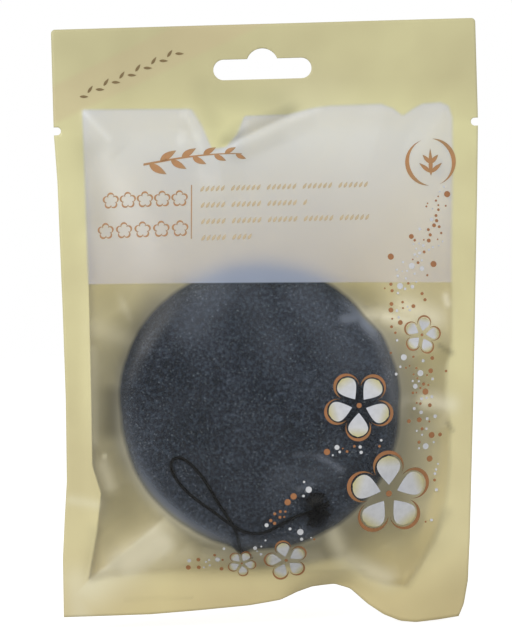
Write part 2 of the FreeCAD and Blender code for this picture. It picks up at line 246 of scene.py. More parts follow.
# %% [markdown]
# Three strands fill a round of the cord's diameter: each is 0.29 of it in radius, so that they press
# into one another a little, as twisted yarns do. A screw modifier would twist a straight yarn only.
# So each strand is a curve with a round bevel, turned once round the cord every 3.2 mm, and all of
# them become one mesh. Where an end is cut, its strands open out by the flare.

# %% Twisted yarn
STRAND_SHARE = 0.29
STRAND_OFFSET_SHARE = 0.23
TWIST_PITCH = 3.2 * MM
STRANDS = 3
YARN_STEP = 0.25 * MM
BEVEL_SEGMENTS = 2


def even_points(line, step):
    places = np.array([tuple(point) for point in line])
    runs = np.concatenate([[0], np.cumsum(np.linalg.norm(np.diff(places, axis=0), axis=1))])
    count = max(int(runs[-1] / step), 2)
    at = np.linspace(0, runs[-1], count + 1)
    return [Vector(place) for place in np.stack([np.interp(at, runs, places[:, axis])
                                                 for axis in range(3)], axis=1)], runs[-1]


def twisted_yarn(name, lines, material, diameter=CORD_DIAMETER, flare=0.0):
    curve = bpy.data.curves.new(name, "CURVE")
    curve.dimensions = "3D"
    curve.bevel_depth = STRAND_SHARE * diameter
    curve.bevel_resolution = BEVEL_SEGMENTS
    curve.use_fill_caps = True
    for line in lines:
        points, length = even_points(line, YARN_STEP)
        side = (points[1] - points[0]).orthogonal().normalized()
        frames = []
        for place, point in enumerate(points):
            ahead = points[min(place + 1, len(points) - 1)] - points[max(place - 1, 0)]
            side = (side - ahead.normalized() * side.dot(ahead.normalized())).normalized()
            frames.append((point, side.copy(), ahead.normalized().cross(side)))
        for strand in range(STRANDS):
            spline = curve.splines.new("POLY")
            spline.points.add(len(frames) - 1)
            for place, (point, across, over) in enumerate(frames):
                turn = 2 * math.pi * (place * length / len(frames) / TWIST_PITCH + strand / STRANDS)
                opened = 1 + flare * (place / len(frames)) ** 2
                out = (across * math.cos(turn) + over * math.sin(turn)) * (
                    STRAND_OFFSET_SHARE * diameter * opened)
                spline.points[place].co = (*(point + out), 1)
    mesh = curve_mesh(name, curve)
    mesh.name = name
    mesh.materials.clear()
    mesh.materials.append(material)
    mesh.polygons.foreach_set("use_smooth", [True] * len(mesh.polygons))
    made = put(name, mesh)
    say(made)
    return made


# %% [markdown]
# Cotton yarn dyed black is matt and slightly furry: fine fibres run along each strand and lighten
# it a little where they stand up. Hair particles could draw them one by one, but at this size they
# are only a broken surface, so a fine bump and a soft sheen give it. A fibre is about 0.02 mm thick.
# The bump's 0.12 mm is the width of a few together, the finest that shows here.

# %% Dyed cotton yarn
FIBRE_SCALE = 1 / (0.12 * MM)
cotton, tree = start_material("dyed_cotton_yarn")
coordinates = add(tree, "ShaderNodeTexCoord")
fibres = add(tree, "ShaderNodeTexNoise", inputs={
    "Vector": coordinates.outputs["Object"], "Scale": FIBRE_SCALE, "Detail": 3.0})
dyed = add(tree, "ShaderNodeValToRGB", inputs={"Fac": fibres},
           stops=[(0.35, linear("#020203")), (0.75, linear("#0A0B0F"))])
furry = add(tree, "ShaderNodeBump", inputs={
    "Height": fibres, "Strength": 0.5, "Distance": 0.08 * MM})
yarn = add(tree, "ShaderNodeBsdfPrincipled", inputs={
    "Base Color": dyed, "Roughness": 0.9, "Specular IOR Level": 0.06,
    "Sheen Weight": 0.02, "Normal": furry})
finish_material(cotton, yarn)

# %% [markdown]
# The knot in front of the hole is a soft black clump, with short ends standing out of it on all
# sides. A knot could be tied by simulation, but only its outline shows through the film. Two closed
# lines like a flattened overhand knot, side by side, give the clump, and short loosely flared
# yarns, each along listed points, give the ends.

# %% Cord, knot and tails
KNOT_CENTRE = Vector((13.0, -11.72, -134.0))
KNOT_TURN_RADIUS = 1.7
KNOT_SWING = 0.6
KNOT_SWAY = 0.96
KNOT_FLATNESS = 0.6
KNOT_TALLNESS = 1.15
KNOT_POINTS = 12
KNOT_PAIR_OFFSET = 0.5
TAIL_DIAMETER = 1.3 * MM
TAIL_FLARE = 1.1
TAIL_ROUTES = [
    [(12.6, -12.0, -134.8), (11.5, -12.1, -136.2), (10.5, -11.9, -137.5), (10.3, -11.3, -138.7)],
    [(12.8, -12.3, -134.9), (12.1, -12.2, -136.4), (11.9, -11.8, -137.9), (11.7, -11.2, -139.2)],
    [(13.1, -12.0, -135.0), (13.2, -12.1, -136.4), (13.4, -11.8, -137.8), (13.1, -11.2, -139.0)],
    [(13.4, -12.3, -134.8), (14.3, -12.1, -136.0), (14.7, -11.8, -137.3), (14.5, -11.3, -138.6)],
    [(13.2, -12.1, -133.2), (13.6, -12.7, -131.2), (14.2, -12.8, -129.2)],
    [(12.8, -12.1, -133.1), (11.9, -12.7, -131.3), (11.2, -12.9, -129.3)],
    [(13.7, -12.0, -133.6), (15.1, -12.5, -132.7), (16.2, -12.5, -132.3)],
    [(13.8, -12.2, -134.2), (15.2, -12.3, -135.0), (16.1, -11.9, -136.2)],
    [(12.5, -12.1, -133.5), (11.0, -12.7, -132.2), (9.9, -12.8, -130.6)],
    [(12.5, -12.3, -134.2), (11.0, -12.5, -134.8), (9.9, -12.3, -135.8)],
    [(12.9, -12.5, -133.4), (12.8, -12.9, -131.4), (12.7, -12.9, -129.1)]]

cord = twisted_yarn("cord_loop", [cord_line], cotton)
knot_lines = []
for aside in (-KNOT_PAIR_OFFSET, KNOT_PAIR_OFFSET):
    route = []
    for step in range(KNOT_POINTS):
        turn = 2 * math.pi * step / KNOT_POINTS
        reach = KNOT_TURN_RADIUS + KNOT_SWING * math.cos(3 * turn)
        route.append(KNOT_CENTRE + Vector((
            KNOT_SWAY * math.sin(3 * turn) + aside,
            KNOT_FLATNESS * reach * math.cos(2 * turn),
            KNOT_TALLNESS * reach * math.sin(2 * turn))))
    line = spline_points("knot_route", route, closed=True)
    knot_lines.append(line + line[:1])
knot = twisted_yarn("cord_knot", knot_lines, cotton)
tails = twisted_yarn("cord_tails", [spline_points("tail_route", route) for route in TAIL_ROUTES],
                     cotton, diameter=TAIL_DIAMETER, flare=TAIL_FLARE)

# %% [markdown]
# ## Light, floor and background
# Plain soft studio light comes for the most part from a white dome. The dome could also be the
# background, but it has to be dimmer than white for the film to keep its colours. So what looks
# straight at the world, through the film or by reflection, sees full white instead.

# %% World
DOME_STRENGTH = 0.61
world = bpy.data.worlds.new("studio")
bpy.context.scene.world = world
world.use_nodes = True
world.node_tree.nodes.clear()
path = add(world.node_tree, "ShaderNodeLightPath")
seen = add(world.node_tree, "ShaderNodeMath", {"operation": "MAXIMUM"}, {
    0: path.outputs["Is Camera Ray"], 1: path.outputs["Is Glossy Ray"]})
seen_or_through = add(world.node_tree, "ShaderNodeMath", {"operation": "MAXIMUM"}, {
    0: seen, 1: path.outputs["Is Transmission Ray"]})
dome = add(world.node_tree, "ShaderNodeBackground", inputs={
    "Color": linear("#FFFFFF"), "Strength": DOME_STRENGTH})
white = add(world.node_tree, "ShaderNodeBackground", inputs={
    "Color": linear("#FFFFFF"), "Strength": 1.0})
mixed = add(world.node_tree, "ShaderNodeMixShader", inputs={
    0: seen_or_through, 1: dome, 2: white})
add(world.node_tree, "ShaderNodeOutputWorld", inputs={"Surface": mixed})
bpy.context.scene.view_settings.view_transform = "Standard"
print("dome", DOME_STRENGTH, "as bright as the background")

# %% [markdown]
# One large soft lamp from the upper left gives the folds a light and a dark side, and a weaker one
# from the right fills in. Sun lamps would draw hard edges that the photograph doesn't have. A dark
# card behind the camera, seen only in reflections, stands for the dim room there: without it the
# whole film would mirror white.

# %% Lamps and reflection card
LAMPS = [
    ("key_softbox", (-0.75, -0.9, 0.55), 0.7, 8.6),
    ("fill_softbox", (0.9, -0.7, 0.1), 0.5, 2.0)]
POUCH_MIDDLE = Vector((0, 0, -80)) * MM
CARD_HALF_WIDTH = 1.6
CARD_DISTANCE = 1.6
CARD_GLOW = 0.6


def facing(place, target):
    return (target - place).to_track_quat("-Z", "Y").to_matrix().to_4x4()


for name, place, size, power in LAMPS:
    lamp = bpy.data.lights.new(name, "AREA")
    lamp.size = size
    lamp.energy = power
    put(name, lamp).matrix_world = Matrix.Translation(place) @ facing(Vector(place), POUCH_MIDDLE)
    print(name, size, "m wide,", power, "W")

dim_room, tree = start_material("dim_room_card")
glow = add(tree, "ShaderNodeEmission", inputs={"Color": linear("#8A8C90"), "Strength": CARD_GLOW})
finish_material(dim_room, glow)
form = bmesh.new()
bmesh.ops.create_grid(form, x_segments=1, y_segments=1, size=CARD_HALF_WIDTH)
bmesh.ops.rotate(form, verts=form.verts, matrix=Matrix.Rotation(math.radians(90), 3, "X"))
bmesh.ops.translate(form, verts=form.verts, vec=(0, -CARD_DISTANCE, 0))
card = piece("reflection_card", form, [dim_room], smooth=False)
card.visible_camera = False
card.visible_diffuse = False
card.visible_transmission = False
card.visible_shadow = False

# %% [markdown]
# The floor is white paper just under the pouch. It could be left out of the picture and only catch
# the shadow, but it also throws light up at the film, so it is real paper. Towards the camera it
# glows a little, which makes it as white as the background and keeps the pouch's shadow.

# %% Floor
FLOOR_DROP = 0.4 * MM
FLOOR_HALF_WIDTH = 6
PAPER_GLOW = 0.74
paper, tree = start_material("white_floor_paper")
path = add(tree, "ShaderNodeLightPath")
lit = add(tree, "ShaderNodeBsdfDiffuse", inputs={"Color": linear("#BEBEBE")})
own = add(tree, "ShaderNodeEmission", inputs={
    "Color": linear("#FFFFFF"), "Strength": PAPER_GLOW})
both = add(tree, "ShaderNodeAddShader", inputs={0: lit, 1: own})
plain = add(tree, "ShaderNodeBsdfDiffuse", inputs={"Color": linear("#D8D8D6")})
shown = add(tree, "ShaderNodeMixShader", inputs={
    0: path.outputs["Is Camera Ray"], 1: plain, 2: both})
finish_material(paper, shown)
form = bmesh.new()
bmesh.ops.create_grid(form, x_segments=1, y_segments=1, size=FLOOR_HALF_WIDTH)
bmesh.ops.translate(form, verts=form.verts, vec=(0, 0, cad_low.z - FLOOR_DROP))
floor = piece("floor", form, [paper], smooth=False)
print("floor at", round((cad_low.z - FLOOR_DROP) / MM, 1), "mm")

# %% [markdown]
# ## Puff
# A konjac puff is a damp, springy foam of fine open pores: nearly flat in front, domed behind, with
# a round rim. A sphere could be pressed flat, but its rim would come out too sharp. So half of the
# outline, a wide arc in front, a domed one behind and the round rim between them, is spun once
# round the axis.

# %% Outline of the puff
PUFF_CENTRE = Vector((-3.6, 0, -103.2))
PUFF_RADIUS = 44.3
PUFF_FRONT = 13.0
PUFF_BACK = 15.0
CROWN_RADIUS = 415.0
DOME_RADIUS = 92.56
FRONT_RIM_RADIUS = 9.0
BACK_RIM_RADIUS = 10.0
WIDEST_RING_Y = -2.46
OUTLINE_STEP = 0.75
ROUND_STEPS = 300


def side_height(radius, depth, crown, rim, rim_height):
    join = (PUFF_RADIUS - rim) / (crown - rim) * crown
    if radius <= join:
        return depth - crown + math.sqrt(crown ** 2 - radius ** 2)
    return rim_height + math.sqrt(max(rim ** 2 - (radius - PUFF_RADIUS + rim) ** 2, 0))


def front_height(radius):
    return side_height(radius, PUFF_FRONT, CROWN_RADIUS, FRONT_RIM_RADIUS, -WIDEST_RING_Y)


def back_height(radius):
    return side_height(radius, PUFF_BACK, DOME_RADIUS, BACK_RIM_RADIUS, WIDEST_RING_Y)


flat_steps = int(PUFF_RADIUS / OUTLINE_STEP)
radii = [PUFF_RADIUS * math.sin(math.pi / 2 * step / flat_steps) for step in range(flat_steps + 1)]
outline = [(radius, -front_height(radius)) for radius in radii]
outline += [(radius, back_height(radius)) for radius in reversed(radii[:-1])]
print("puff outline", len(outline), "points")

# %% [markdown]
# Spinning the chain of points gives rings that close on the axis, where the doubled points are
# merged. A screw modifier would make the same, but bmesh leaves nothing to apply.

# %% Spun puff
MERGE_DISTANCE = 0.001

form = bmesh.new()
chain = [form.verts.new((PUFF_CENTRE.x + radius, y, PUFF_CENTRE.z)) for radius, y in outline]
edges = [form.edges.new(pair) for pair in zip(chain, chain[1:])]
bmesh.ops.spin(form, geom=chain + edges, cent=PUFF_CENTRE, axis=(0, 1, 0),
               angle=2 * math.pi, steps=ROUND_STEPS, use_merge=True)
bmesh.ops.remove_doubles(form, verts=form.verts, dist=MERGE_DISTANCE)
bmesh.ops.recalc_face_normals(form, faces=form.faces)
form.normal_update()
print("puff", len(form.verts), "vertices")

# %% [markdown]
# The moulded foam has soft lumps, small dents and open pores. A displacement modifier could add
# them from a texture. Here each vertex is moved along its own normal by noise of those sizes, which
# keeps the sizes in millimetres and leaves nothing to apply. A dimple takes the knot, and a
# straight hole the cord. The hole is only prepared here, as a round bar that cuts it later.

# %% Lumps, pores, dimple and the cutter of the hole
LUMPS = ((14.0, 0.35), (4.0, 0.18), (1.3, 0.12))
PORE_SPACING = 1.15
PORE_DEPTH = 0.22
PORE_REACH = 0.5
ROUNDING = 1.5
SKIN_DROP = 0.15
HOLE_PLACE = Vector((13.0, 0, -134.0))
HOLE_RADIUS = 1.1
HOLE_SIDES = 20
CUTTER_LENGTH = 60.0
DIMPLE_RADIUS = 4.6
DIMPLE_DEPTH = 1.7

moves = []
for vertex in form.verts:
    shift = 0
    for size, depth in LUMPS:
        shift += depth * noise.noise(vertex.co / size)
    nearest = noise.voronoi(vertex.co / PORE_SPACING)[0][0]
    shift -= PORE_DEPTH * max(0, 1 - nearest / PORE_REACH) ** ROUNDING
    aside = math.hypot(vertex.co.x - HOLE_PLACE.x, vertex.co.z - HOLE_PLACE.z)
    if vertex.co.y < 0 and aside < DIMPLE_RADIUS:
        shift -= DIMPLE_DEPTH * math.cos(math.pi / 2 * aside / DIMPLE_RADIUS) ** ROUNDING
    moves.append(vertex.normal * (shift - SKIN_DROP))
for vertex, move in zip(form.verts, moves):
    vertex.co = (vertex.co + move) * MM

cutter_form = bmesh.new()
bmesh.ops.create_cone(cutter_form, cap_ends=True, segments=HOLE_SIDES, radius1=HOLE_RADIUS * MM,
                      radius2=HOLE_RADIUS * MM, depth=CUTTER_LENGTH * MM)
bmesh.ops.rotate(cutter_form, verts=cutter_form.verts,
                 matrix=Matrix.Rotation(math.radians(90), 3, "X"))
bmesh.ops.translate(cutter_form, verts=cutter_form.verts, vec=HOLE_PLACE * MM)
print("largest move", round(max(move.length for move in moves), 2), "mm")

# %% [markdown]
# Konjac foam is a gel of root fibre that is frozen and thawed, which leaves fine open pores. Here it
# is coloured with charcoal. To the eye it is a dark slate grey, matt with a faint damp sheen. Pores
# are darker and the walls between them lighter, a speckle of half a millimetre to one millimetre,
# with slow clouds where the foam is denser, and a few pale flecks painted in as glints where a
# wall would catch the light.
# Every pore could be cut out of the mesh, but millions of faces would show no more than this
# colour and a shallow bump do.

# %% Charcoal konjac foam
SPECKLE_SCALE = 1 / (1.0 * MM)
FINE_SPECKLE_SCALE = 1 / (0.55 * MM)
FLECK_SCALE = 1 / (0.6 * MM)
CLOUD_SCALE = 1 / (16 * MM)
FLECK_NOISE = (0.64, 0.76)
FLECK_SHARE = 0.45
PORE_SHARE = 0.45
foam, tree = start_material("charcoal_konjac_foam")
coordinates = add(tree, "ShaderNodeTexCoord")
speckle = add(tree, "ShaderNodeTexNoise", inputs={
    "Vector": coordinates.outputs["Object"], "Scale": SPECKLE_SCALE, "Detail": 3.0,
    "Roughness": 0.65})
pores = add(tree, "ShaderNodeTexVoronoi", inputs={
    "Vector": coordinates.outputs["Object"], "Scale": FINE_SPECKLE_SCALE})
clouds = add(tree, "ShaderNodeTexNoise", inputs={
    "Vector": coordinates.outputs["Object"], "Scale": CLOUD_SCALE, "Detail": 2.0})
grain = add(tree, "ShaderNodeValToRGB", inputs={"Fac": speckle},
            stops=[(0.34, linear("#222A35")), (0.50, linear("#323C4A")), (0.67, linear("#556171"))])
cloudy = add(tree, "ShaderNodeValToRGB", inputs={"Fac": clouds},
             stops=[(0.34, linear("#A6B0BE")), (0.66, linear("#F2EEF6"))])
tinted = add(tree, "ShaderNodeMix", {"data_type": "RGBA", "blend_type": "MULTIPLY"}, {
    0: 1.0, 6: grain, 7: cloudy})
# painted highlight: pale flecks stand for glints on the pore walls
fleck_noise = add(tree, "ShaderNodeTexNoise", inputs={
    "Vector": coordinates.outputs["Object"], "Scale": FLECK_SCALE, "Detail": 1.0})
flecks = add(tree, "ShaderNodeMapRange", {"interpolation_type": "SMOOTHSTEP"}, {
    0: fleck_noise, 1: FLECK_NOISE[0], 2: FLECK_NOISE[1], 3: 0.0, 4: FLECK_SHARE})
flecked = add(tree, "ShaderNodeMix", {"data_type": "RGBA"}, {
    0: flecks, 6: tinted.outputs[2], 7: linear("#97A1AE")})
relief = add(tree, "ShaderNodeMath", {"operation": "MULTIPLY_ADD"}, {
    0: pores, 1: PORE_SHARE, 2: speckle})
rough = add(tree, "ShaderNodeBump", inputs={
    "Height": relief, "Strength": 0.5, "Distance": 0.2 * MM})
damp = add(tree, "ShaderNodeBsdfPrincipled", inputs={
    "Base Color": flecked.outputs[2], "Roughness": 0.75, "Specular IOR Level": 0.25,
    "Normal": rough})
finish_material(foam, damp)

# %% [markdown]
# The threading hole goes right through the puff. Faces could be left out of the spun rings, but
# they don't line up with a hole beside the axis. A Boolean with the round bar cuts it cleanly.

# %% Puff with its hole
puff = piece("puff", form, [foam])
cutter = piece("hole_cutter", cutter_form, [foam])
cut(puff, cutter)
bpy.data.objects.remove(cutter)
say(puff)

# %% [markdown]
# ## Webs of film
# The pouch is two webs of film, sealed to each other round the edge. Each web is one sheet from the
# header's top to the bottom seal. Cloth simulation could inflate it, but its folds would fall
# elsewhere than in the photograph. So it is a fine grid whose columns follow the pouch's slightly
# crooked side edges and whose rows end on its wavy bottom edge. The edges are tables of shares: how
# far along, and how far in or up from the straight outline there.

# %% Outline of the pouch
LEFT_X = -64.25
RIGHT_X = 65.35
HALF_WIDTH = (RIGHT_X - LEFT_X) / 2
HEADER_TOP = 13.75
POUCH_TOP = -18.0
BOTTOM_Z = -165.7
BOTTOM_SEAL_Z = -153.6
LEFT_EDGE_SHARES = [(0, 0), (0.10, 0.011), (0.37, 0.019), (0.55, 0.022), (0.72, 0.016),
                    (0.79, 0.002), (0.88, -0.013), (1, -0.016)]
RIGHT_EDGE_SHARES = [(0, 0), (0.16, 0.015), (0.38, 0.038), (0.58, 0.059), (0.74, 0.079),
                     (0.86, 0.093), (0.94, 0.107), (0.98, 0.130), (1, 0.156)]
BOTTOM_EDGE_SHARES = [(0, 0), (0.22, 0.015), (0.34, 0.08), (0.47, 0.17), (0.55, 0.28),
                      (0.59, 0.45), (0.63, 0.56), (0.69, 0.60), (0.73, 0.48), (0.77, 0.12),
                      (0.81, -0.15), (0.85, -0.31), (0.89, -0.35), (0.95, -0.31), (1, -0.25)]


def share_at(table, place):
    return np.interp(place, [row[0] for row in table], [row[1] for row in table])


def pouch_place(across, drop):
    flat_z = HEADER_TOP - drop * (HEADER_TOP - BOTTOM_Z)
    down = max((POUCH_TOP - flat_z) / (POUCH_TOP - BOTTOM_Z), 0)
    left = LEFT_X + HALF_WIDTH * share_at(LEFT_EDGE_SHARES, down)
    right = RIGHT_X - HALF_WIDTH * share_at(RIGHT_EDGE_SHARES, down)
    in_seal = max(BOTTOM_SEAL_Z - flat_z, 0) / (BOTTOM_SEAL_Z - BOTTOM_Z)
    lift = (BOTTOM_SEAL_Z - BOTTOM_Z) * share_at(BOTTOM_EDGE_SHARES, across)
    return left + (right - left) * across, flat_z + lift * in_seal


print("corners at", *[[round(float(value), 1) for value in pouch_place(across, drop)]
                      for across in (0, 1) for drop in (0, 1)], "mm")

# %% [markdown]
# The seals print their shape on the film: where the webs are fused the pouch is bright yellow, and
# where air lies between them the front web is milky or clear. The line between the two, walked round
# once clockwise from the top left, includes the V that dips under the slot. Each corner also says
# over how many millimetres the two sides melt into each other there: the film leaves the seal
# sharply on the left and lies almost on the back web at the bottom. The line could be cut into the
# mesh, but then it would always be sharp. So distances to it are kept as an attribute of the
# mesh, and a material turns them into an edge. The paler ribbon on the header is such a line too.

# %% Lines printed and sealed on the film
OPEN_FILM = [
    (-55.5, -10.8, 0.8), (-22.9, -11.5, 0.8), (-21.7, -11.9, 0.9), (-18.7, -17.0, 1.0),
    (-16.0, -24.0, 0.6), (-11.8, -23.5, 0.8), (-8.2, -19.3, 1.0), (-6.0, -14.1, 0.7),
    (7.1, -14.1, 0.7), (14.3, -12.4, 0.9), (20.3, -11.7, 0.9), (36.0, -11.6, 0.9),
    (39.5, -13.0, 0.8), (42.5, -15.4, 0.8), (45.5, -13.4, 0.8), (48.5, -11.9, 0.8),
    (54.0, -11.6, 0.9), (56.6, -12.8, 0.9), (57.7, -16.5, 0.9), (57.4, -30.0, 1.0),
    (56.5, -52.0, 1.0), (56.0, -68.0, 1.0), (55.7, -84.0, 1.2), (55.3, -88.0, 1.2),
    (53.9, -92.0, 1.6), (53.4, -102.5, 2.0), (54.5, -110.5, 1.2), (54.0, -118.0, 1.6),
    (53.7, -124.1, 2.2), (52.4, -133.2, 2.4), (49.0, -145.3, 2.6), (44.5, -152.5, 1.8),
    (39.4, -159.0, 1.0), (33.0, -158.4, 1.6), (27.9, -156.5, 2.0), (24.0, -153.0, 2.0),
    (20.4, -149.8, 1.8), (14.0, -150.8, 2.4), (7.2, -152.1, 2.6), (-5.0, -153.2, 2.4),
    (-29.5, -152.6, 1.8), (-50.9, -153.6, 1.0), (-57.6, -154.7, 0.4), (-54.5, -139.4, 0.7),
    (-52.8, -127.9, 0.4), (-55.3, -119.5, 0.35), (-55.0, -99.6, 0.3), (-54.9, -66.0, 0.3),
    (-55.1, -60.0, 0.9)]
RIBBON = [(-70.0, -6.2, 1), (-70.0, -17.6, 1), (4.0, 15.0, 1), (-24.0, 15.0, 1)]
for name, corners in (("open film", OPEN_FILM), ("ribbon", RIBBON)):
    print(name, "of", len(corners), "corners")

# %% [markdown]
# Both functions take all points of a web at once, as two arrays, because a web has tens of thousands
# of them. Blender could find the nearest point on a curve, but only one point at a time. The
# distance to an outline is positive inside it and negative outside: a point is inside where a
# line from it to the right crosses the outline an odd number of times.

# %% Distance to a line and to an outline
FAR = 1e9
HARDLY = 1e-9


def line_distance(x, z, start, end):
    run = (end[0] - start[0], end[1] - start[1])
    along = ((x - start[0]) * run[0] + (z - start[1]) * run[1]) / (run[0] ** 2 + run[1] ** 2)
    along = np.clip(along, 0, 1)
    return np.hypot(x - start[0] - along * run[0], z - start[1] - along * run[1]), along


def inside_distance(x, z, corners):
    nearest = np.full(len(x), FAR)
    softness = np.ones(len(x))
    inside = np.zeros(len(x), bool)
    for start, end in zip(corners, corners[1:] + corners[:1]):
        away, along = line_distance(x, z, start, end)
        softness = np.where(away < nearest, start[2] + along * (end[2] - start[2]), softness)
        nearest = np.minimum(nearest, away)
        crosses = (start[1] > z) != (end[1] > z)
        rise = end[1] - start[1]
        at = start[0] + (z - start[1]) * (end[0] - start[0]) / (rise if rise else HARDLY)
        inside ^= crosses & (x < at)
    return np.where(inside, nearest, -nearest), softness


slot_place = inside_distance(np.zeros(1), np.zeros(1), OPEN_FILM)[0]
print("the slot is", round(-float(slot_place[0]), 1), "mm outside the open film")

# %% [markdown]
# A fold in film has a sharp crest and two nearly flat sides. It could be sculpted, or drawn by a
# bump, but a bump casts no shadow and doesn't bend what is seen through it. So each fold is a
# tent over a line: a height at the crest that falls evenly to nothing at its width, and fades out
# towards its far end. The front web's folds stand out of the pouch, away from the puff. A slow
# buckle moves both webs together, so the seals stay closed.

# %% Folds and buckles
FRONT_FOLDS = [
    ((-55.5, -10.8), (-44.0, -24.0), 5.0, 0.9),
    ((-22.9, -11.8), (-22.9, -21.0), 3.5, 0.8),
    ((-22.9, -21.0), (-15.5, -26.0), 4.0, 0.9),
    ((-12.0, -24.0), (14.3, -12.9), 6.0, 1.9),
    ((-14.5, -23.5), (-12.0, -40.0), 7.0, 0.8),
    ((38.0, -13.0), (30.0, -34.0), 8.0, 0.7),
    ((57.0, -13.0), (46.0, -30.0), 6.0, 0.8),
    ((-57.6, -154.5), (-33.5, -135.2), 8.0, 2.4),
    ((-52.5, -128.0), (-42.0, -124.0), 6.0, 1.0),
    ((-55.0, -94.0), (-46.0, -88.0), 6.0, 0.8),
    ((-55.0, -77.0), (-43.0, -72.0), 6.0, 0.9),
    ((30.0, -76.3), (47.0, -78.0), 4.0, 0.9),
    ((43.0, -103.0), (54.0, -101.5), 4.0, 0.9),
    ((45.0, -88.5), (55.0, -87.0), 4.0, 0.7),
    ((54.0, -110.5), (46.0, -113.0), 4.0, 0.7),
    ((39.5, -158.5), (34.0, -146.0), 7.0, 1.6),
    ((20.5, -149.5), (12.0, -141.0), 6.0, 0.9),
    ((6.5, -126.5), (14.5, -130.5), 2.2, 0.5),
    ((2.0, -132.0), (10.0, -130.8), 1.8, 0.35)]
BACK_FOLDS = [
    ((-54.0, -14.0), (-40.0, -34.0), 7.0, 1.2),
    ((55.0, -15.0), (40.0, -34.0), 7.0, 1.2),
    ((-56.0, -153.0), (-36.0, -136.0), 8.0, 1.8),
    ((40.0, -156.0), (32.0, -142.0), 8.0, 1.8),
    ((-8.0, -14.0), (-4.0, -38.0), 8.0, 0.9)]
BUCKLE_SIZE = 38.0
BUCKLE_HEIGHT = 0.35
RIPPLE_SIZE = 9.0
RIPPLE_HEIGHT = 0.14
FADE_FROM = 0.43
FADE_SHARE = 0.12


def fold_height(x, z, folds):
    height = 0
    for start, end, width, crest in folds:
        away, along = line_distance(x, z, start, end)
        fade = 1
        if along > FADE_FROM:
            fade = math.sin(math.pi * (FADE_SHARE + (1 - FADE_SHARE) * float(along))) ** 0.5
        height = max(height, crest * max(0, 1 - float(away) / width) * fade)
    return height


print(len(FRONT_FOLDS), "folds in front,", len(BACK_FOLDS), "behind")

# %% [markdown]
# The film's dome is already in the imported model. A shrinkwrap modifier could lay the grid on it, but
# would pull its edge points sideways. A ray along Y from far outside finds the height at each
# point and leaves x and z as they are. Where a ray misses, beyond the film's edge, the nearest
# point of the film gives the height.

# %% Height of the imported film
RAY_START = 100.0


def surface_of(*meshes):
    joined = bmesh.new()
    for mesh in meshes:
        joined.from_mesh(mesh)
    tree = BVHTree.FromBMesh(joined)
    joined.free()
    return tree


def packed_surface(*nodes):
    return surface_of(*[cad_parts[node].data for node in nodes])


def height_over(tree, x, z, facing_y):
    start = Vector((x, facing_y * RAY_START, z)) * MM
    hit = tree.ray_cast(start, Vector((0, -facing_y, 0)))[0]
    if hit is None:
        hit = tree.find_nearest(Vector((x, 0, z)) * MM)[0]
    return hit.y / MM


dome_top = height_over(packed_surface("front_film"), PUFF_CENTRE.x, PUFF_CENTRE.z, -1)
print("front film over the puff's middle at", round(dome_top, 1), "mm")

# %% [markdown]
# One punch goes through both webs for the hanging slot with its bump, the two thumb-shaped tear
# notches and the rounded corners of the header, as a die would in the pouch maker's press. The
# openings could be left out of the grid, but its steps would show along their edges. A Boolean
# with solid prisms cuts them clean, and one cutter for both webs keeps them in line.

# %% Shared cutter for the slot, the notches and the header's corners
SLOT_LENGTH = 30.0
SLOT_HEIGHT = 6.3
BUMP_RADIUS = 4.9
BUMP_CENTRE = 1.4
NOTCH_DEPTH = 2.2
NOTCH_RADIUS = 1.22
NOTCHES = ((LEFT_X, 1, -17.3), (RIGHT_X, -1, -17.9))
TEAR_Z = -17.6
CORNER_RADIUS = 1.2
CUT_REACH = 30.0
CUT_OVERRUN = 2.0


def prism(form, outline):
    corners = [form.verts.new((x * MM, -CUT_REACH * MM, z * MM)) for x, z in outline]
    base = form.faces.new(corners)
    grown = bmesh.ops.extrude_face_region(form, geom=[base])["geom"]
    top = [part for part in grown if isinstance(part, bmesh.types.BMVert)]
    bmesh.ops.translate(form, verts=top, vec=(0, 2 * CUT_REACH * MM, 0))


def arc(centre_x, centre_z, radius, start_deg, end_deg, steps):
    turns = [math.radians(start_deg + (end_deg - start_deg) * step / steps)
             for step in range(steps + 1)]
    return [(centre_x + radius * math.cos(turn), centre_z + radius * math.sin(turn))
            for turn in turns]


half_slot = SLOT_HEIGHT / 2
straight = SLOT_LENGTH / 2 - half_slot
bump_angle = math.degrees(math.asin((half_slot - BUMP_CENTRE) / BUMP_RADIUS))
slot_outline = arc(straight, 0, half_slot, -90, 90, 16)
slot_outline += arc(0, BUMP_CENTRE, BUMP_RADIUS, bump_angle, 180 - bump_angle, 24)
slot_outline += arc(-straight, 0, half_slot, 90, 270, 16)
form = bmesh.new()
prism(form, slot_outline)
for edge_x, inward, notch_z in NOTCHES:
    round_end = arc(edge_x + inward * (NOTCH_DEPTH - NOTCH_RADIUS), notch_z, NOTCH_RADIUS,
                    -90 * inward, 180 - 90 * inward, 12)
    outside = edge_x - inward * NOTCH_DEPTH
    prism(form, round_end + [(outside, notch_z + inward * NOTCH_RADIUS),
                             (outside, notch_z - inward * NOTCH_RADIUS)])
    centre_x = edge_x + inward * CORNER_RADIUS
    start = 180 if inward > 0 else 0
    corner = arc(centre_x, HEADER_TOP - CORNER_RADIUS, CORNER_RADIUS, start, 90, 8)
    beyond = edge_x - inward * CUT_OVERRUN
    prism(form, corner + [(centre_x, HEADER_TOP + CUT_OVERRUN), (beyond, HEADER_TOP + CUT_OVERRUN),
                          (beyond, HEADER_TOP - CORNER_RADIUS)])
bmesh.ops.recalc_face_normals(form, faces=form.faces)
web_cutter = piece("web_cutter", form, [], smooth=False)
say(web_cutter)

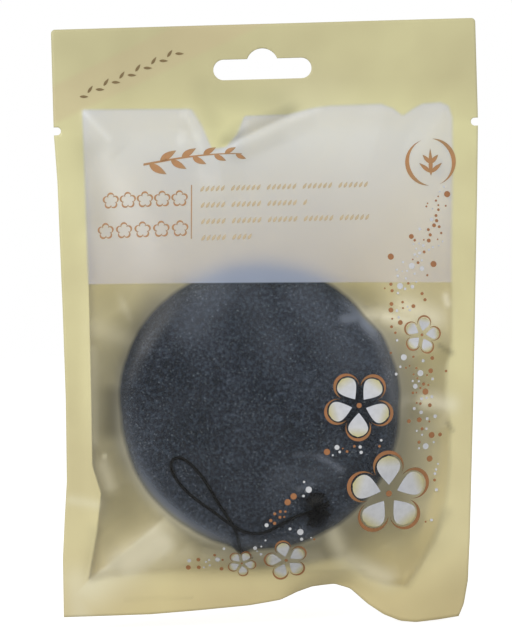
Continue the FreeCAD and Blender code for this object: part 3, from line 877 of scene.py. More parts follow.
# %% [markdown]
# The film has a thickness that shows at its cut edges, and an inner side of its own. It could be a
# sheet without thickness, but light would then pass it only once. Solidify turns the grid into film
# with an inner side of its own material, and the cutter goes through it. Both are applied, because
# the web bends at the tear line and its mesh has to be final before that. Real film is about
# 0.1 mm thick. This is 0.28 mm, so that its edge still shows as a fine line.

# %% Lay out, fold and cut one web
WEB_COLUMNS = 150
WEB_ROWS = 208
WEB_THICKNESS = 0.28
SMOOTHING_ROUNDS = 6
RIPPLE_ROOM = 4
FOLD_ROOM = 2.5
SEAL_FOLD_SHARE = 0.15


def make_web(name, nodes, facing_y, folds, materials):
    tree = packed_surface(*nodes)
    sheet = bmesh.new()
    bmesh.ops.create_grid(sheet, x_segments=WEB_COLUMNS, y_segments=WEB_ROWS, size=1)
    for vertex in sheet.verts:
        x, z = pouch_place((vertex.co.x + 1) / 2, (1 - vertex.co.y) / 2)
        vertex.co = (x, height_over(tree, x, z, facing_y), z)
    for _ in range(SMOOTHING_ROUNDS):
        bmesh.ops.smooth_vert(sheet, verts=sheet.verts, factor=0.5, use_axis_x=False,
                              use_axis_y=True, use_axis_z=False)
    x = np.array([vertex.co.x for vertex in sheet.verts])
    z = np.array([vertex.co.z for vertex in sheet.verts])
    open_film = inside_distance(x, z, OPEN_FILM)[0]
    for vertex, room in zip(sheet.verts, open_film):
        place = Vector((vertex.co.x, 0, vertex.co.z))
        free = min(max(float(room) / RIPPLE_ROOM, 0), 1)
        creased = min(max(float(room) / FOLD_ROOM + SEAL_FOLD_SHARE, 0), 1)
        lift = fold_height(vertex.co.x, vertex.co.z, folds) * creased
        lift += free * RIPPLE_HEIGHT * (noise.noise(place / RIPPLE_SIZE) + 1)
        buckle = BUCKLE_HEIGHT * noise.noise(place / BUCKLE_SIZE)
        vertex.co.y += facing_y * lift + buckle
        vertex.co = vertex.co * MM
    bmesh.ops.recalc_face_normals(sheet, faces=sheet.faces)
    if sheet.faces[:][0].normal.y * facing_y < 0:
        bmesh.ops.reverse_faces(sheet, faces=sheet.faces)
    made = piece(name, sheet, materials)
    film = made.modifiers.new("film", "SOLIDIFY")
    film.thickness = WEB_THICKNESS * MM
    film.offset = -1
    film.material_offset = 1
    film.material_offset_rim = 0
    cut(made, web_cutter)
    return made


print("webs of", WEB_COLUMNS, "by", WEB_ROWS, "faces")

# %% [markdown]
# A mesh can tell its material something about each of its points through a named attribute. Vertex
# colours would do as well, but they are meant for values up to 1, and these are millimetres. All
# values are read and written at once, because a loop over the points of a web is slow.

# %% Attributes of a mesh
def store(made, name, values, kind="FLOAT"):
    layer = made.data.attributes.new(name, kind, "POINT")
    layer.data.foreach_set("vector" if kind == "FLOAT_VECTOR" else "value",
                           np.ascontiguousarray(values, np.float32).ravel())


def vertex_places(made):
    places = np.zeros(len(made.data.vertices) * 3, np.float32)
    made.data.vertices.foreach_get("co", places)
    return places.reshape(-1, 3) / MM


print("puff reaches forward to", round(float(-vertex_places(puff)[:, 1].min()), 1), "mm")

# %% [markdown]
# ## Film materials
# The front web is frosted polypropylene and the back web the same film with a layer of yellow ink.
# The yellow is darker at the header and towards the bottom. It is also painted lighter and darker
# in broad soft patches, which stand for the film's uneven gloss reflections. An image could carry
# those shifts, but noise in the film's own millimetres has no resolution and no seam. The frost is a
# fine relief that takes the shine off. Its real grain is some hundredths of a millimetre, too fine
# to show, so it is drawn at 0.9 mm.

# %% Printed yellow film colour
YELLOW_BANDS = [(0.02, "#D2C495"), (0.12, "#D9CFA2"), (0.82, "#D9D5A5"), (0.90, "#C9C398")]
YELLOW_FROM_Z = -166.0
YELLOW_TO_Z = 14.0
REFLECTION_PATCH_SIZE = 26.0
REFLECTION_PATCH_STRENGTH = 0.8
FROST_GRAIN = 0.9
FROST_STRENGTH = 0.12
FROST_DEPTH = 0.05 * MM


def yellow_print(tree, flat):
    upright = add(tree, "ShaderNodeSeparateXYZ", inputs={0: flat})
    height = add(tree, "ShaderNodeMapRange", inputs={
        0: upright.outputs["Z"], 1: YELLOW_FROM_Z, 2: YELLOW_TO_Z, 3: 0.0, 4: 1.0})
    bands = add(tree, "ShaderNodeValToRGB", inputs={"Fac": height}, stops=[
        (at, linear(code)) for at, code in YELLOW_BANDS])
    # painted reflection: broad patches of lighter and darker yellow, as the gloss would show
    patches = add(tree, "ShaderNodeTexNoise", inputs={
        "Vector": flat, "Scale": 1 / REFLECTION_PATCH_SIZE, "Detail": 2.0})
    reflection_tones = add(tree, "ShaderNodeValToRGB", inputs={"Fac": patches}, stops=[
        (0.3, linear("#ECE9E6")), (0.7, linear("#FFFFFC"))])
    varied = add(tree, "ShaderNodeMix", {"data_type": "RGBA", "blend_type": "MULTIPLY"}, {
        0: REFLECTION_PATCH_STRENGTH, 6: bands, 7: reflection_tones})
    return varied.outputs[2], upright


def frost_relief(tree, flat):
    grain = add(tree, "ShaderNodeTexNoise", inputs={
        "Vector": flat, "Scale": 1 / FROST_GRAIN, "Detail": 2.0})
    return add(tree, "ShaderNodeBump", inputs={
        "Height": grain, "Strength": FROST_STRENGTH, "Distance": FROST_DEPTH})


print("yellow in", len(YELLOW_BANDS), "bands from", YELLOW_FROM_Z, "to", YELLOW_TO_Z, "mm")

# %% [markdown]
# ### Seals
# Where the webs are fused there is no air between them, so the front shows the yellow print as a
# plain satin colour. The front film could be one material there and another between the seals, but
# the edge would follow the faces of the grid. So one material holds all layers and mixes them by
# what the mesh says of each point: its place on the flat film, how far inside the seal's line it
# is, the gap behind it, how much haze and painted highlight and how much painted shade it carries,
# and whether it is over the puff or the ribbon. A painted highlight makes the yellow paler, and
# painted shade darkens it, as on the hollow side of a crease.

# %% Fused film of the seals
RIBBON_SOFTNESS = 1.2
RIBBON_COVER = 0.42
DEEPEST_SHADE = 0.25
front_film, tree = start_material("frosted_polypropylene_film")
flat = add(tree, "ShaderNodeAttribute", {"attribute_name": "flat_mm"}).outputs["Vector"]
room, gap, scuff, shade, over_puff, band = (
    add(tree, "ShaderNodeAttribute", {"attribute_name": name}).outputs["Fac"]
    for name in ("open_mm", "gap_mm", "scuff", "shade", "over_puff_mm", "ribbon_mm"))
yellow, upright = yellow_print(tree, flat)
frosted = frost_relief(tree, flat)
ribbon = add(tree, "ShaderNodeMapRange", {"interpolation_type": "SMOOTHSTEP"}, {
    0: band, 1: -RIBBON_SOFTNESS, 2: RIBBON_SOFTNESS, 3: 0.0, 4: RIBBON_COVER})
with_ribbon = add(tree, "ShaderNodeMix", {"data_type": "RGBA"}, {
    0: ribbon, 6: yellow, 7: linear("#C4B28E")})
# painted highlight: the yellow turns paler under the pale strokes
highlighted = add(tree, "ShaderNodeMix", {"data_type": "RGBA"}, {
    0: scuff, 6: with_ribbon.outputs[2], 7: linear("#E6E2C8")})
# painted shade: the dark strokes darken the colour, at most to DEEPEST_SHADE of it
shade_factor = add(tree, "ShaderNodeMapRange", inputs={0: shade, 1: 0.0, 2: 1.0, 3: 1.0, 4: DEEPEST_SHADE})
shaded = add(tree, "ShaderNodeVectorMath", {"operation": "SCALE"}, {
    0: highlighted.outputs[2], "Scale": shade_factor})
fused = add(tree, "ShaderNodeBsdfPrincipled", inputs={
    "Base Color": shaded, "Roughness": 0.38, "Specular IOR Level": 0.3, "Normal": frosted})
print("ribbon covers", RIBBON_COVER, "of the yellow")

# %% [markdown]
# ### Milky panel
# Above a straight printed line the front web carries white ink behind the frost. It is thin enough
# to glow with the yellow behind it and to go blue over the dark puff, as all white that lets a dark
# ground through does. Subsurface scattering could do this, but it needs a closed solid and many
# samples. A diffuse share for the ink and a rough refracting share for what comes through it
# give the same look on a film. Towards the top the ink is lighter and lets less through.

# %% White ink of the milky panel
INK_LOW_Z = -64.0
INK_HIGH_Z = -22.0
INK_THROUGH_LOW = 0.54
INK_THROUGH_HIGH = 0.38
INK_BRIGHTEST = 1.3
BLUE_FROM = -3.5
BLUE_TO = 6.0
BLUE_SHARE = 0.62
FILM_IOR = 1.5
toward_panel_top = add(tree, "ShaderNodeMapRange", inputs={
    0: upright.outputs["Z"], 1: INK_LOW_Z, 2: INK_HIGH_Z, 3: 0.0, 4: 1.0})
ink_body = add(tree, "ShaderNodeMix", {"data_type": "RGBA"}, {
    0: toward_panel_top, 6: linear("#D1D3E0"), 7: linear("#DEE4EC")})
over_dark = add(tree, "ShaderNodeMapRange", {"interpolation_type": "SMOOTHSTEP"}, {
    0: over_puff, 1: BLUE_FROM, 2: BLUE_TO, 3: 0.0, 4: BLUE_SHARE})
ink_over = add(tree, "ShaderNodeMix", {"data_type": "RGBA"}, {
    0: over_dark, 6: ink_body.outputs[2], 7: linear("#AFC3E6")})
# painted highlight and painted shade on the ink: pale strokes brighten it, dark strokes darken it
bright = add(tree, "ShaderNodeMapRange", {"clamp": False}, {
    0: scuff, 1: 0.0, 2: 1.0, 3: 1.0, 4: INK_BRIGHTEST})
tone = add(tree, "ShaderNodeMath", {"operation": "MULTIPLY"}, {0: bright, 1: shade_factor})
ink_tone = add(tree, "ShaderNodeVectorMath", {"operation": "SCALE"}, {
    0: ink_over.outputs[2], "Scale": tone})
ink = add(tree, "ShaderNodeBsdfDiffuse", inputs={"Color": ink_tone, "Normal": frosted})
through_ink = add(tree, "ShaderNodeBsdfRefraction", inputs={
    "Color": linear("#FFEFB4"), "Roughness": 1.0, "IOR": FILM_IOR})
ink_through = add(tree, "ShaderNodeMapRange", inputs={
    0: toward_panel_top, 1: 0.0, 2: 1.0, 3: INK_THROUGH_LOW, 4: INK_THROUGH_HIGH})
milky = add(tree, "ShaderNodeMixShader", inputs={0: ink_through, 1: ink, 2: through_ink})
print("ink lets through", INK_THROUGH_LOW, "at its foot and", INK_THROUGH_HIGH, "higher up")

# %% [markdown]
# ### Frosted window
# Below the line the film is only frosted. Pressed on the puff it shows every pore, and standing off
# it blurs and hazes what is behind, the more the further away that is. A rough glass would blur
# the same everywhere. So the haze follows the gap measured behind each point: none in contact,
# apart from faint patches, and nearly all at 5.6 mm. Close over the dark foam the frost scatters
# blue, and further off, over the yellow web, it is cream.

# %% Frosted window over the puff
HAZE_NEAR = 2.95
HAZE_FAR = 5.6
HAZE_MOST = 0.96
BLUE_GAP = 2.9
CREAM_GAP = 4.4
CONTACT_PATCH = 13.0
CONTACT_NOISE = (0.42, 0.66)
CONTACT_HAZE = (0.008, 0.045)
VEIL_SHARES = (0.26, 0.92)
VEIL_FULL_HIGHLIGHT = 0.6
# painted shade also dims the clear film, what is seen through the haze, and the gloss
clear_tint, seen_tint, gloss_tint = (
    add(tree, "ShaderNodeVectorMath", {"operation": "SCALE"}, {
        0: linear(code)[:3], "Scale": shade_factor}) for code in ("#F7F7F5", "#FFFAE8", "#FFFFFF"))
clear = add(tree, "ShaderNodeBsdfTransparent", inputs={"Color": clear_tint})
# painted highlight: under the pale strokes the cream haze turns whiter
cream = add(tree, "ShaderNodeMix", {"data_type": "RGBA"}, {
    0: scuff, 6: linear("#D8D0B0"), 7: linear("#F4EDD2")})
away = add(tree, "ShaderNodeMapRange", {"interpolation_type": "SMOOTHSTEP"}, {
    0: gap, 1: BLUE_GAP, 2: CREAM_GAP, 3: 0.0, 4: 1.0})
frost_colour = add(tree, "ShaderNodeMix", {"data_type": "RGBA"}, {
    0: away, 6: linear("#BCC6D8"), 7: cream.outputs[2]})
# painted shade darkens the veil
veil = add(tree, "ShaderNodeVectorMath", {"operation": "SCALE"}, {
    0: frost_colour.outputs[2], "Scale": shade_factor})
haze_scatter = add(tree, "ShaderNodeBsdfDiffuse", inputs={"Color": veil, "Normal": frosted})
haze_blur = add(tree, "ShaderNodeBsdfRefraction", inputs={
    "Color": seen_tint, "Roughness": 0.95, "IOR": FILM_IOR})
# the pale strokes also turn more of the haze into a white veil, a painted highlight
whiteness = add(tree, "ShaderNodeMapRange", inputs={
    0: scuff, 1: 0.0, 2: VEIL_FULL_HIGHLIGHT, 3: VEIL_SHARES[0], 4: VEIL_SHARES[1]})
haze = add(tree, "ShaderNodeMixShader", inputs={0: whiteness, 1: haze_blur, 2: haze_scatter})
standoff = add(tree, "ShaderNodeMapRange", {"interpolation_type": "SMOOTHSTEP"}, {
    0: gap, 1: HAZE_NEAR, 2: HAZE_FAR, 3: 0.0, 4: HAZE_MOST})
contact = add(tree, "ShaderNodeTexNoise", inputs={
    "Vector": flat, "Scale": 1 / CONTACT_PATCH, "Detail": 1.0})
film_itself = add(tree, "ShaderNodeMapRange", {"interpolation_type": "SMOOTHSTEP"}, {
    0: contact, 1: CONTACT_NOISE[0], 2: CONTACT_NOISE[1], 3: CONTACT_HAZE[0],
    4: CONTACT_HAZE[1]})
least = add(tree, "ShaderNodeMath", {"operation": "MAXIMUM"}, {0: standoff, 1: film_itself})
hazed = add(tree, "ShaderNodeMath", {"operation": "MAXIMUM", "use_clamp": True}, {
    0: least, 1: scuff})
window = add(tree, "ShaderNodeMixShader", inputs={0: hazed, 1: clear, 2: haze})
print("haze from", HAZE_NEAR, "to", HAZE_FAR, "mm of gap")

# %% [markdown]
# ### Gloss, and the whole film
# The panel's lower edge is a sharp printed line, a little askew. Over panel and window lies the
# film's own soft gloss, stronger at a slant. Light on its way to the puff could be traced through
# the frost as well, but that is noisy, so shadow rays simply pass. Last, the fused yellow
# takes over outside the seal's line.

# %% Gloss and the whole front film
PANEL_EDGE_Z = -65.5
PANEL_EDGE_LEAN = 0.0225
PANEL_EDGE_BLUR = 0.15
SEAL_EDGE = (-0.6, 1.0)
GLOSS_IOR = 1.38
leaning = add(tree, "ShaderNodeVectorMath", {"operation": "DOT_PRODUCT"}, {
    0: flat, 1: (PANEL_EDGE_LEAN, 0.0, 1.0)})
above = add(tree, "ShaderNodeMapRange", inputs={
    0: leaning.outputs["Value"], 1: PANEL_EDGE_Z - PANEL_EDGE_BLUR,
    2: PANEL_EDGE_Z + PANEL_EDGE_BLUR, 3: 0.0, 4: 1.0})
see_through = add(tree, "ShaderNodeMixShader", inputs={0: above, 1: window, 2: milky})
gloss = add(tree, "ShaderNodeBsdfGlossy", inputs={
    "Color": gloss_tint, "Roughness": 0.32, "Normal": frosted})
mirror = add(tree, "ShaderNodeFresnel", inputs={"IOR": GLOSS_IOR})
glossed = add(tree, "ShaderNodeMixShader", inputs={0: mirror, 1: see_through, 2: gloss})
path = add(tree, "ShaderNodeLightPath")
lamp_through = add(tree, "ShaderNodeBsdfTransparent", inputs={"Color": linear("#F2F0E6")})
lit_through = add(tree, "ShaderNodeMixShader", inputs={
    0: path.outputs["Is Shadow Ray"], 1: glossed, 2: lamp_through})
sealed = add(tree, "ShaderNodeMapRange", {"interpolation_type": "SMOOTHSTEP"}, {
    0: room, 1: SEAL_EDGE[0], 2: SEAL_EDGE[1], 3: 1.0, 4: 0.0})
whole = add(tree, "ShaderNodeMixShader", inputs={0: sealed, 1: lit_through, 2: fused})
finish_material(front_film, whole)

# %% [markdown]
# ### Inner side and back web
# The inner side of the front web only lets through what the outer side has already tinted and
# blurred, so between the seals it is plain clear film, and at the seals it is the fused yellow. It
# could be left out, but a piece with thickness needs both sides. The back web is the same film
# printed all over, a satin yellow that hides what is behind it, so it needs one layer only.

# %% Inner side of the front film
INNER_SEAL_EDGE = (-0.6, -0.4)
front_inner, tree = start_material("polypropylene_film_inner_side")
room = add(tree, "ShaderNodeAttribute", {"attribute_name": "open_mm"}).outputs["Fac"]
clear = add(tree, "ShaderNodeBsdfTransparent", inputs={"Color": linear("#FFFFFF")})
fused = add(tree, "ShaderNodeBsdfPrincipled", inputs={
    "Base Color": linear("#D9CFA2"), "Roughness": 0.45, "Specular IOR Level": 0.3})
sealed = add(tree, "ShaderNodeMapRange", inputs={
    0: room, 1: INNER_SEAL_EDGE[0], 2: INNER_SEAL_EDGE[1], 3: 1.0, 4: 0.0})
whole = add(tree, "ShaderNodeMixShader", inputs={0: sealed, 1: clear, 2: fused})
finish_material(front_inner, whole)

# %% Yellow printed back film
back_film, tree = start_material("yellow_printed_film")
flat = add(tree, "ShaderNodeAttribute", {"attribute_name": "flat_mm"}).outputs["Vector"]
yellow, upright = yellow_print(tree, flat)
whole = add(tree, "ShaderNodeBsdfPrincipled", inputs={
    "Base Color": yellow, "Roughness": 0.36, "Specular IOR Level": 0.35,
    "Normal": frost_relief(tree, flat)})
finish_material(back_film, whole)

# %% [markdown]
# ## Painted highlights, haze and shade
# The film's creases and hollows are lighter and darker than the folds of the mesh alone make them.
# Part of the lighter look is haze inside the film and the rest is a painted highlight; the darker
# look is painted shade. They could be painted as a texture. Here each is a stroke: a line from one
# end to the other, a width in millimetres over which it fades, an amount, and the side it is
# limited to where a crease is pale on one side only. Such a stroke follows the film and can be read
# and changed.

# %% Strokes of haze with painted highlight, and of painted shade
SIDE_SOFTNESS = 1.2
SIDE_FADE = 9
SIDE_LEAST_SHARE = 0.1
# pale strokes: haze in the film and a painted highlight
HAZE_AND_HIGHLIGHT_STROKES = [
    ((22.5, -77.0), (34.0, -75.6), 2.4, 0.36, 0),
    ((35.0, -76.6), (42.5, -79.0), 2.8, 0.50, 0),
    ((41.0, -74.5), (50.0, -77.5), 4.2, 0.45, 0),
    ((53.8, -71.0), (54.4, -73.4), 1.2, 0.50, 0),
    ((46.5, -102.7), (54.4, -104.0), 2.8, 0.55, 0),
    ((46.0, -112.0), (45.0, -134.0), 6.0, 0.14, 0),
    ((-52.0, -78.0), (-44.0, -81.0), 3.5, 0.18, 0),
    ((-57.6, -154.5), (-33.5, -135.2), 9.0, 0.62, -1),
    ((-46.0, -150.0), (-35.0, -143.5), 5.0, 0.80, 0),
    ((-51.5, -119.5), (-49.5, -125.5), 2.2, 0.24, 0),
    ((-51.1, -116.4), (-51.1, -117.0), 0.6, 0.50, 0),
    ((6.7, -117.1), (13.8, -117.9), 1.2, 0.16, 0),
    ((13.8, -117.9), (20.1, -122.0), 1.3, 0.28, 0),
    ((7.1, -127.4), (11.6, -126.2), 1.1, 0.24, 0),
    ((-2.0, -128.0), (3.0, -130.0), 4.0, 0.09, 0),
    ((2.0, -124.5), (18.0, -122.0), 5.0, 0.12, 0),
    ((-36.0, -149.5), (-27.0, -146.5), 3.5, 0.30, 0),
    ((21.9, -150.3), (33.5, -156.3), 3.3, 0.42, 0),
    ((17.0, -141.0), (20.0, -149.5), 3.0, 0.36, 0),
    ((-22.0, -147.6), (12.0, -148.6), 3.0, 0.20, 0),
    ((-54.0, -84.0), (-54.2, -112.0), 1.5, 0.12, 0),
    ((33.0, -48.0), (36.0, -60.0), 9.0, 0.14, 0),
    ((-24.0, -77.0), (-15.0, -69.0), 8.5, 0.18, 0),
    ((-8.0, -68.0), (2.0, -84.0), 9.0, 0.12, 0),
    ((12.0, -70.0), (24.0, -88.0), 11.0, 0.15, 0),
    ((31.0, -86.0), (36.0, -104.0), 6.0, 0.13, 0),
    ((-61.0, -155.0), (-60.0, -166.0), 5.0, 0.40, 0),
    ((-62.0, -130.0), (-54.5, -131.5), 1.6, 0.35, 0),
    ((-54.4, -12.2), (-47.5, -20.0), 1.1, 0.55, 0),
    ((-53.0, -15.0), (-49.0, -24.0), 3.0, 0.12, 0),
    ((-23.4, -15.5), (-20.0, -24.0), 3.0, 0.55, 1),
    ((-19.5, -32.0), (-17.0, -34.0), 2.0, 0.20, 0),
    ((14.0, -16.0), (44.0, -40.0), 14.0, 0.16, 0),
    ((-12.4, -24.2), (16.0, -12.2), 2.0, 0.60, -1)]
# dark strokes: painted shade
SHADES = [
    ((-10.5, -22.5), (7.5, -14.6), 4.0, 0.50, 1),
    ((-8.0, -26.0), (4.0, -21.5), 3.0, 0.10, 0),
    ((-24.5, -13.5), (-24.4, -20.0), 2.2, 0.10, 0),
    ((-18.0, -6.0), (-15.0, -20.0), 4.5, 0.15, 0),
    ((-60.0, 8.0), (-34.0, 8.0), 12.0, 0.10, 0),
    ((-53.8, -40.0), (-53.4, -62.0), 1.6, 0.12, 0),
    ((-47.0, -69.0), (-38.0, -68.5), 5.0, 0.16, 0),
    ((-53.0, -24.0), (-51.5, -44.0), 5.0, 0.25, 0),
    ((-14.0, -8.0), (4.0, -10.0), 5.0, 0.17, 0),
    ((-8.0, -112.0), (-7.0, -137.0), 6.5, 0.20, 0),
    ((37.0, -156.0), (47.0, -146.0), 6.0, 0.15, 0),
    ((31.0, -70.0), (26.0, -69.0), 4.0, 0.24, 0),
    ((-48.5, -98.0), (-49.0, -108.0), 3.8, 0.58, 0),
    ((-48.0, -84.0), (-48.5, -118.0), 3.0, 0.15, 0),
    ((-48.0, -120.0), (-45.0, -134.0), 6.0, 0.20, 0),
    ((-55.0, -140.0), (-56.5, -152.0), 2.5, 0.20, 0),
    ((-50.5, -143.0), (-49.0, -150.0), 3.0, 0.12, 0),
    ((51.5, -86.0), (55.3, -88.4), 0.9, 0.40, 0),
    ((53.4, -109.7), (55.0, -112.0), 0.7, 0.40, 0),
    ((40.2, -159.0), (52.5, -137.0), 1.6, 0.22, 0),
    ((44.0, -164.0), (56.0, -160.0), 7.0, 0.12, 0),
    ((-46.6, -160.9), (-25.8, -160.6), 0.35, 0.22, 0),
    ((-4.0, -148.6), (16.0, -147.4), 2.6, 0.10, 0),
    # painted shade over the knot and round it, so that it shows blacker
    ((11.4, -132.4), (13.8, -138.6), 3.0, 0.55, 0)]


def strokes(x, z, rows):
    total = np.zeros(len(x))
    for start, end, width, amount, side in rows:
        away, along = line_distance(x, z, start, end)
        stroke = amount * np.exp(-(away / width) ** 2)
        if side:
            run = Vector(end) - Vector(start)
            beside = ((x - start[0]) * run.y - (z - start[1]) * run.x) / run.length
            from_puff = np.hypot(x - PUFF_CENTRE.x, z - PUFF_CENTRE.z) - PUFF_RADIUS
            stroke *= np.clip(0.5 - side * beside / SIDE_SOFTNESS, 0, 1)
            stroke *= np.clip(from_puff / SIDE_FADE + 0.5, SIDE_LEAST_SHARE, 1)
        total = np.maximum(total, stroke)
    return total


print(len(HAZE_AND_HIGHLIGHT_STROKES), "lightened and", len(SHADES), "shaded strokes")

# %% [markdown]
# Round the puff's rim the film changes all the way: here it is hazed and carries a painted
# highlight, there it carries painted shade, and in places it is lifted off the foam. One even ring
# would look drawn. So three tables say how much of each there is at which angle, in degrees from
# the right and upwards, and each fades away from its own radius. The lift is a small extra gap that
# only the haze reads. Where the cord goes over the rim it presses the film, which shows as two
# strokes without gap or haze.

# %% Haze with painted highlight, painted shade and lift round the rim
RIM_HAZE_RADIUS = 40.9
RIM_HAZE_WIDTH = 2.8
RIM_HAZE_AND_HIGHLIGHT = [
    (-75, 0.17), (-50, 0.12), (-20, 0.07), (18, 0.07), (28, 0.22), (37, 0.46), (48, 0.27),
    (60, 0.0), (160, 0.0), (172, 0.06), (183, 0.13), (200, 0.22), (213, 0.33), (230, 0.40),
    (245, 0.33), (262, 0.19)]
RIM_SHADE_RADIUS = 44.0
RIM_SHADE_WIDTH = 6.5
RIM_SHADE = [
    (10, 0.0), (20, 0.10), (30, 0.0), (42, 0.0), (50, 0.12), (62, 0.0), (117, 0.0), (123, 0.28),
    (133, 0.58), (145, 0.58), (155, 0.48), (165, 0.28), (177, 0.0), (222, 0.0), (240, 0.06),
    (258, 0.0)]
RIM_LIFT_WIDTH = 3.0
RIM_LIFT = [
    (-75, 0.0), (10, 0.5), (22, 1.2), (30, 0.9), (40, 2.2), (50, 1.1), (66, 0.0), (130, 0.0),
    (145, 0.3), (155, 0.9), (165, 0.4), (180, 0.4), (195, 0.8), (208, 0.2), (218, 0.0),
    (228, 0.4), (238, 1.0), (250, 0.2), (262, 0.0)]
PRESSED = [
    ((-12.6, -140.2), (-10.9, -146.2), 1.1, 0.7, 0),
    ((-10.9, -146.2), (-7.5, -148.5), 1.1, 0.7, 0)]


def around_puff(x, z, radius, width, rows):
    aside, above = x - PUFF_CENTRE.x, z - PUFF_CENTRE.z
    turn = np.degrees(np.arctan2(above, aside))
    amounts = np.interp(turn, [row[0] for row in rows], [row[1] for row in rows], period=360)
    return amounts * np.exp(-((np.hypot(aside, above) - radius) / width) ** 2)


for name, rows in (("haze", RIM_HAZE_AND_HIGHLIGHT), ("shade", RIM_SHADE), ("lift", RIM_LIFT)):
    print("most", name, "at", max(rows, key=lambda row: row[1])[0], "degrees")

# %% [markdown]
# ## Both webs
# Each web is laid out from its own packed film, header and pouch in one, folded and punched. Each
# could be made in two parts, as the model has it, but the film runs through at the tear line. Then
# its vertices are told where they are on the flat film and how far inside the seal's line.

# %% Front and back webs
front_web = make_web("front_web", ("header_front_film", "front_film"), -1, FRONT_FOLDS,
                     [front_film, front_inner])
back_web = make_web("back_web", ("header_back_film", "back_film"), 1, BACK_FOLDS,
                    [back_film, back_film])
bpy.data.objects.remove(web_cutter)
for web in (front_web, back_web):
    places = vertex_places(web)
    store(web, "flat_mm", places * (1, 0, 1), "FLOAT_VECTOR")
    room, softness = inside_distance(places[:, 0], places[:, 2], OPEN_FILM)
    store(web, "open_mm", room / softness)
    say(web)

# %% [markdown]
# How far the front web stands off is measured, not guessed: a ray from each of its points goes back
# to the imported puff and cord. A material could measure it while rendering, but only by tracing
# more rays at every sample. Where nothing is hit the gap counts as the depth of the pouch. A few
# rounds of averaging between neighbours soften it, as the spread of light in the film does. The
# film is drawn tighter over the upper part of the puff, so there it counts as closer.

# %% Gap behind the front web
GAP_SOFTENING = 7
NO_PUFF_GAP = 13.0
TAUT_SHARE = 0.65
TAUT_FROM_Z = -104.0
TAUT_TO_Z = -82.0


def gaps_behind(places, nodes):
    behind = packed_surface(*nodes)
    gaps = np.full(len(places), NO_PUFF_GAP)
    for number, place in enumerate(places):
        hit = behind.ray_cast(Vector(place) * MM, Vector((0, 1, 0)))[0]
        if hit is not None:
            gaps[number] = hit.y / MM - place[1]
    return gaps


def softened(values, mesh, rounds):
    ends = np.zeros(2 * len(mesh.edges), np.int32)
    mesh.edges.foreach_get("vertices", ends)
    ends = ends.reshape(-1, 2)
    met = np.bincount(ends.ravel(), minlength=len(values))
    for _ in range(rounds):
        around = np.bincount(ends[:, 0], values[ends[:, 1]], len(values))
        around += np.bincount(ends[:, 1], values[ends[:, 0]], len(values))
        values = 0.5 * values + 0.5 * around / np.maximum(met, 1)
    return values


places = vertex_places(front_web)
x, z = places[:, 0], places[:, 2]
gaps = softened(gaps_behind(places, ("sponge", "cord", "knot", "knot_tails")),
                front_web.data, GAP_SOFTENING)
taut = np.clip((z - TAUT_FROM_Z) / (TAUT_TO_Z - TAUT_FROM_Z), 0, 1)
rim_lift = around_puff(x, z, PUFF_RADIUS, RIM_LIFT_WIDTH, RIM_LIFT)
rim_haze_and_highlight = around_puff(x, z, RIM_HAZE_RADIUS, RIM_HAZE_WIDTH, RIM_HAZE_AND_HIGHLIGHT)
rim_shade = around_puff(x, z, RIM_SHADE_RADIUS, RIM_SHADE_WIDTH, RIM_SHADE)
pressed = strokes(x, z, PRESSED)
store(front_web, "gap_mm", (gaps / (1 + TAUT_SHARE * taut) + rim_lift) * (1 - pressed))
store(front_web, "scuff", np.maximum(strokes(x, z, HAZE_AND_HIGHLIGHT_STROKES), rim_haze_and_highlight) * (1 - pressed))
store(front_web, "shade", np.maximum(strokes(x, z, SHADES), rim_shade))
store(front_web, "over_puff_mm", PUFF_RADIUS - np.hypot(x - PUFF_CENTRE.x, z - PUFF_CENTRE.z))
store(front_web, "ribbon_mm", inside_distance(x, z, RIBBON)[0])
print("gaps from", round(float(gaps.min()), 1), "to", round(float(gaps.max()), 1), "mm")

# %% [markdown]
# ## Print on the front
# Ink is printed on the film in flat areas with crisp edges. A picture mapped on the web could carry
# it, but its edges would blur close up. So each motif is a thin patch of fine mesh laid on the
# front web, less than a tenth of a millimetre above it. Every motif starts as a grid whose rows
# run from one end to the other: that gives it a smooth outline, lets it follow the folds, and
# stores how far along it each point is, which shades the ink. The design is a generic one:
# blossoms in copper crescents, with dots that climb the right side and a leafy sprig above.

# %% Tools for the print
PRINT_LIFT = 0.08
PETAL_HALF_WIDTH_SHARE = 0.27
PETAL_START_SHARE = 0.2
PETAL_LENGTH_SHARE = 0.66
PETAL_LEAN = 1.6
PETAL_BLUNTNESS = 0.6
CRESCENT_LEAN = 1.25
LEAF_LEAN = 0.8
LEAF_BLUNTNESS = 0.9
DOT_SIDES = 14
film_face = surface_of(front_web.data)


def start_print():
    form = bmesh.new()
    form.verts.layers.float.new("along")
    return form


def turned(centre, angle, forward, aside):
    return (centre[0] + forward * math.cos(angle) - aside * math.sin(angle),
            centre[1] + forward * math.sin(angle) + aside * math.cos(angle))


def motif(form, columns, rows, shape):
    layer = form.verts.layers.float["along"]
    grid = bmesh.ops.create_grid(form, x_segments=columns, y_segments=rows, size=1)
    for vertex in grid["verts"]:
        along = (vertex.co.y + 1) / 2
        x, z = shape(along, vertex.co.x)
        vertex.co = (x, 0, z)
        vertex[layer] = along


def petal(centre, radius, angle):
    def shape(along, side):
        bulge = max(math.sin(math.pi * along ** PETAL_LEAN), 0) ** PETAL_BLUNTNESS
        return turned(centre, angle, radius * (PETAL_START_SHARE + PETAL_LENGTH_SHARE * along),
                      side * PETAL_HALF_WIDTH_SHARE * radius * bulge)
    return shape


def crescent(centre, radius, thickness, angle, sweep):
    def shape(along, side):
        turn = angle + sweep * (along - 0.5)
        reach = radius + side * thickness / 2 * math.sin(math.pi * along ** CRESCENT_LEAN)
        return turned(centre, turn, reach, 0)
    return shape


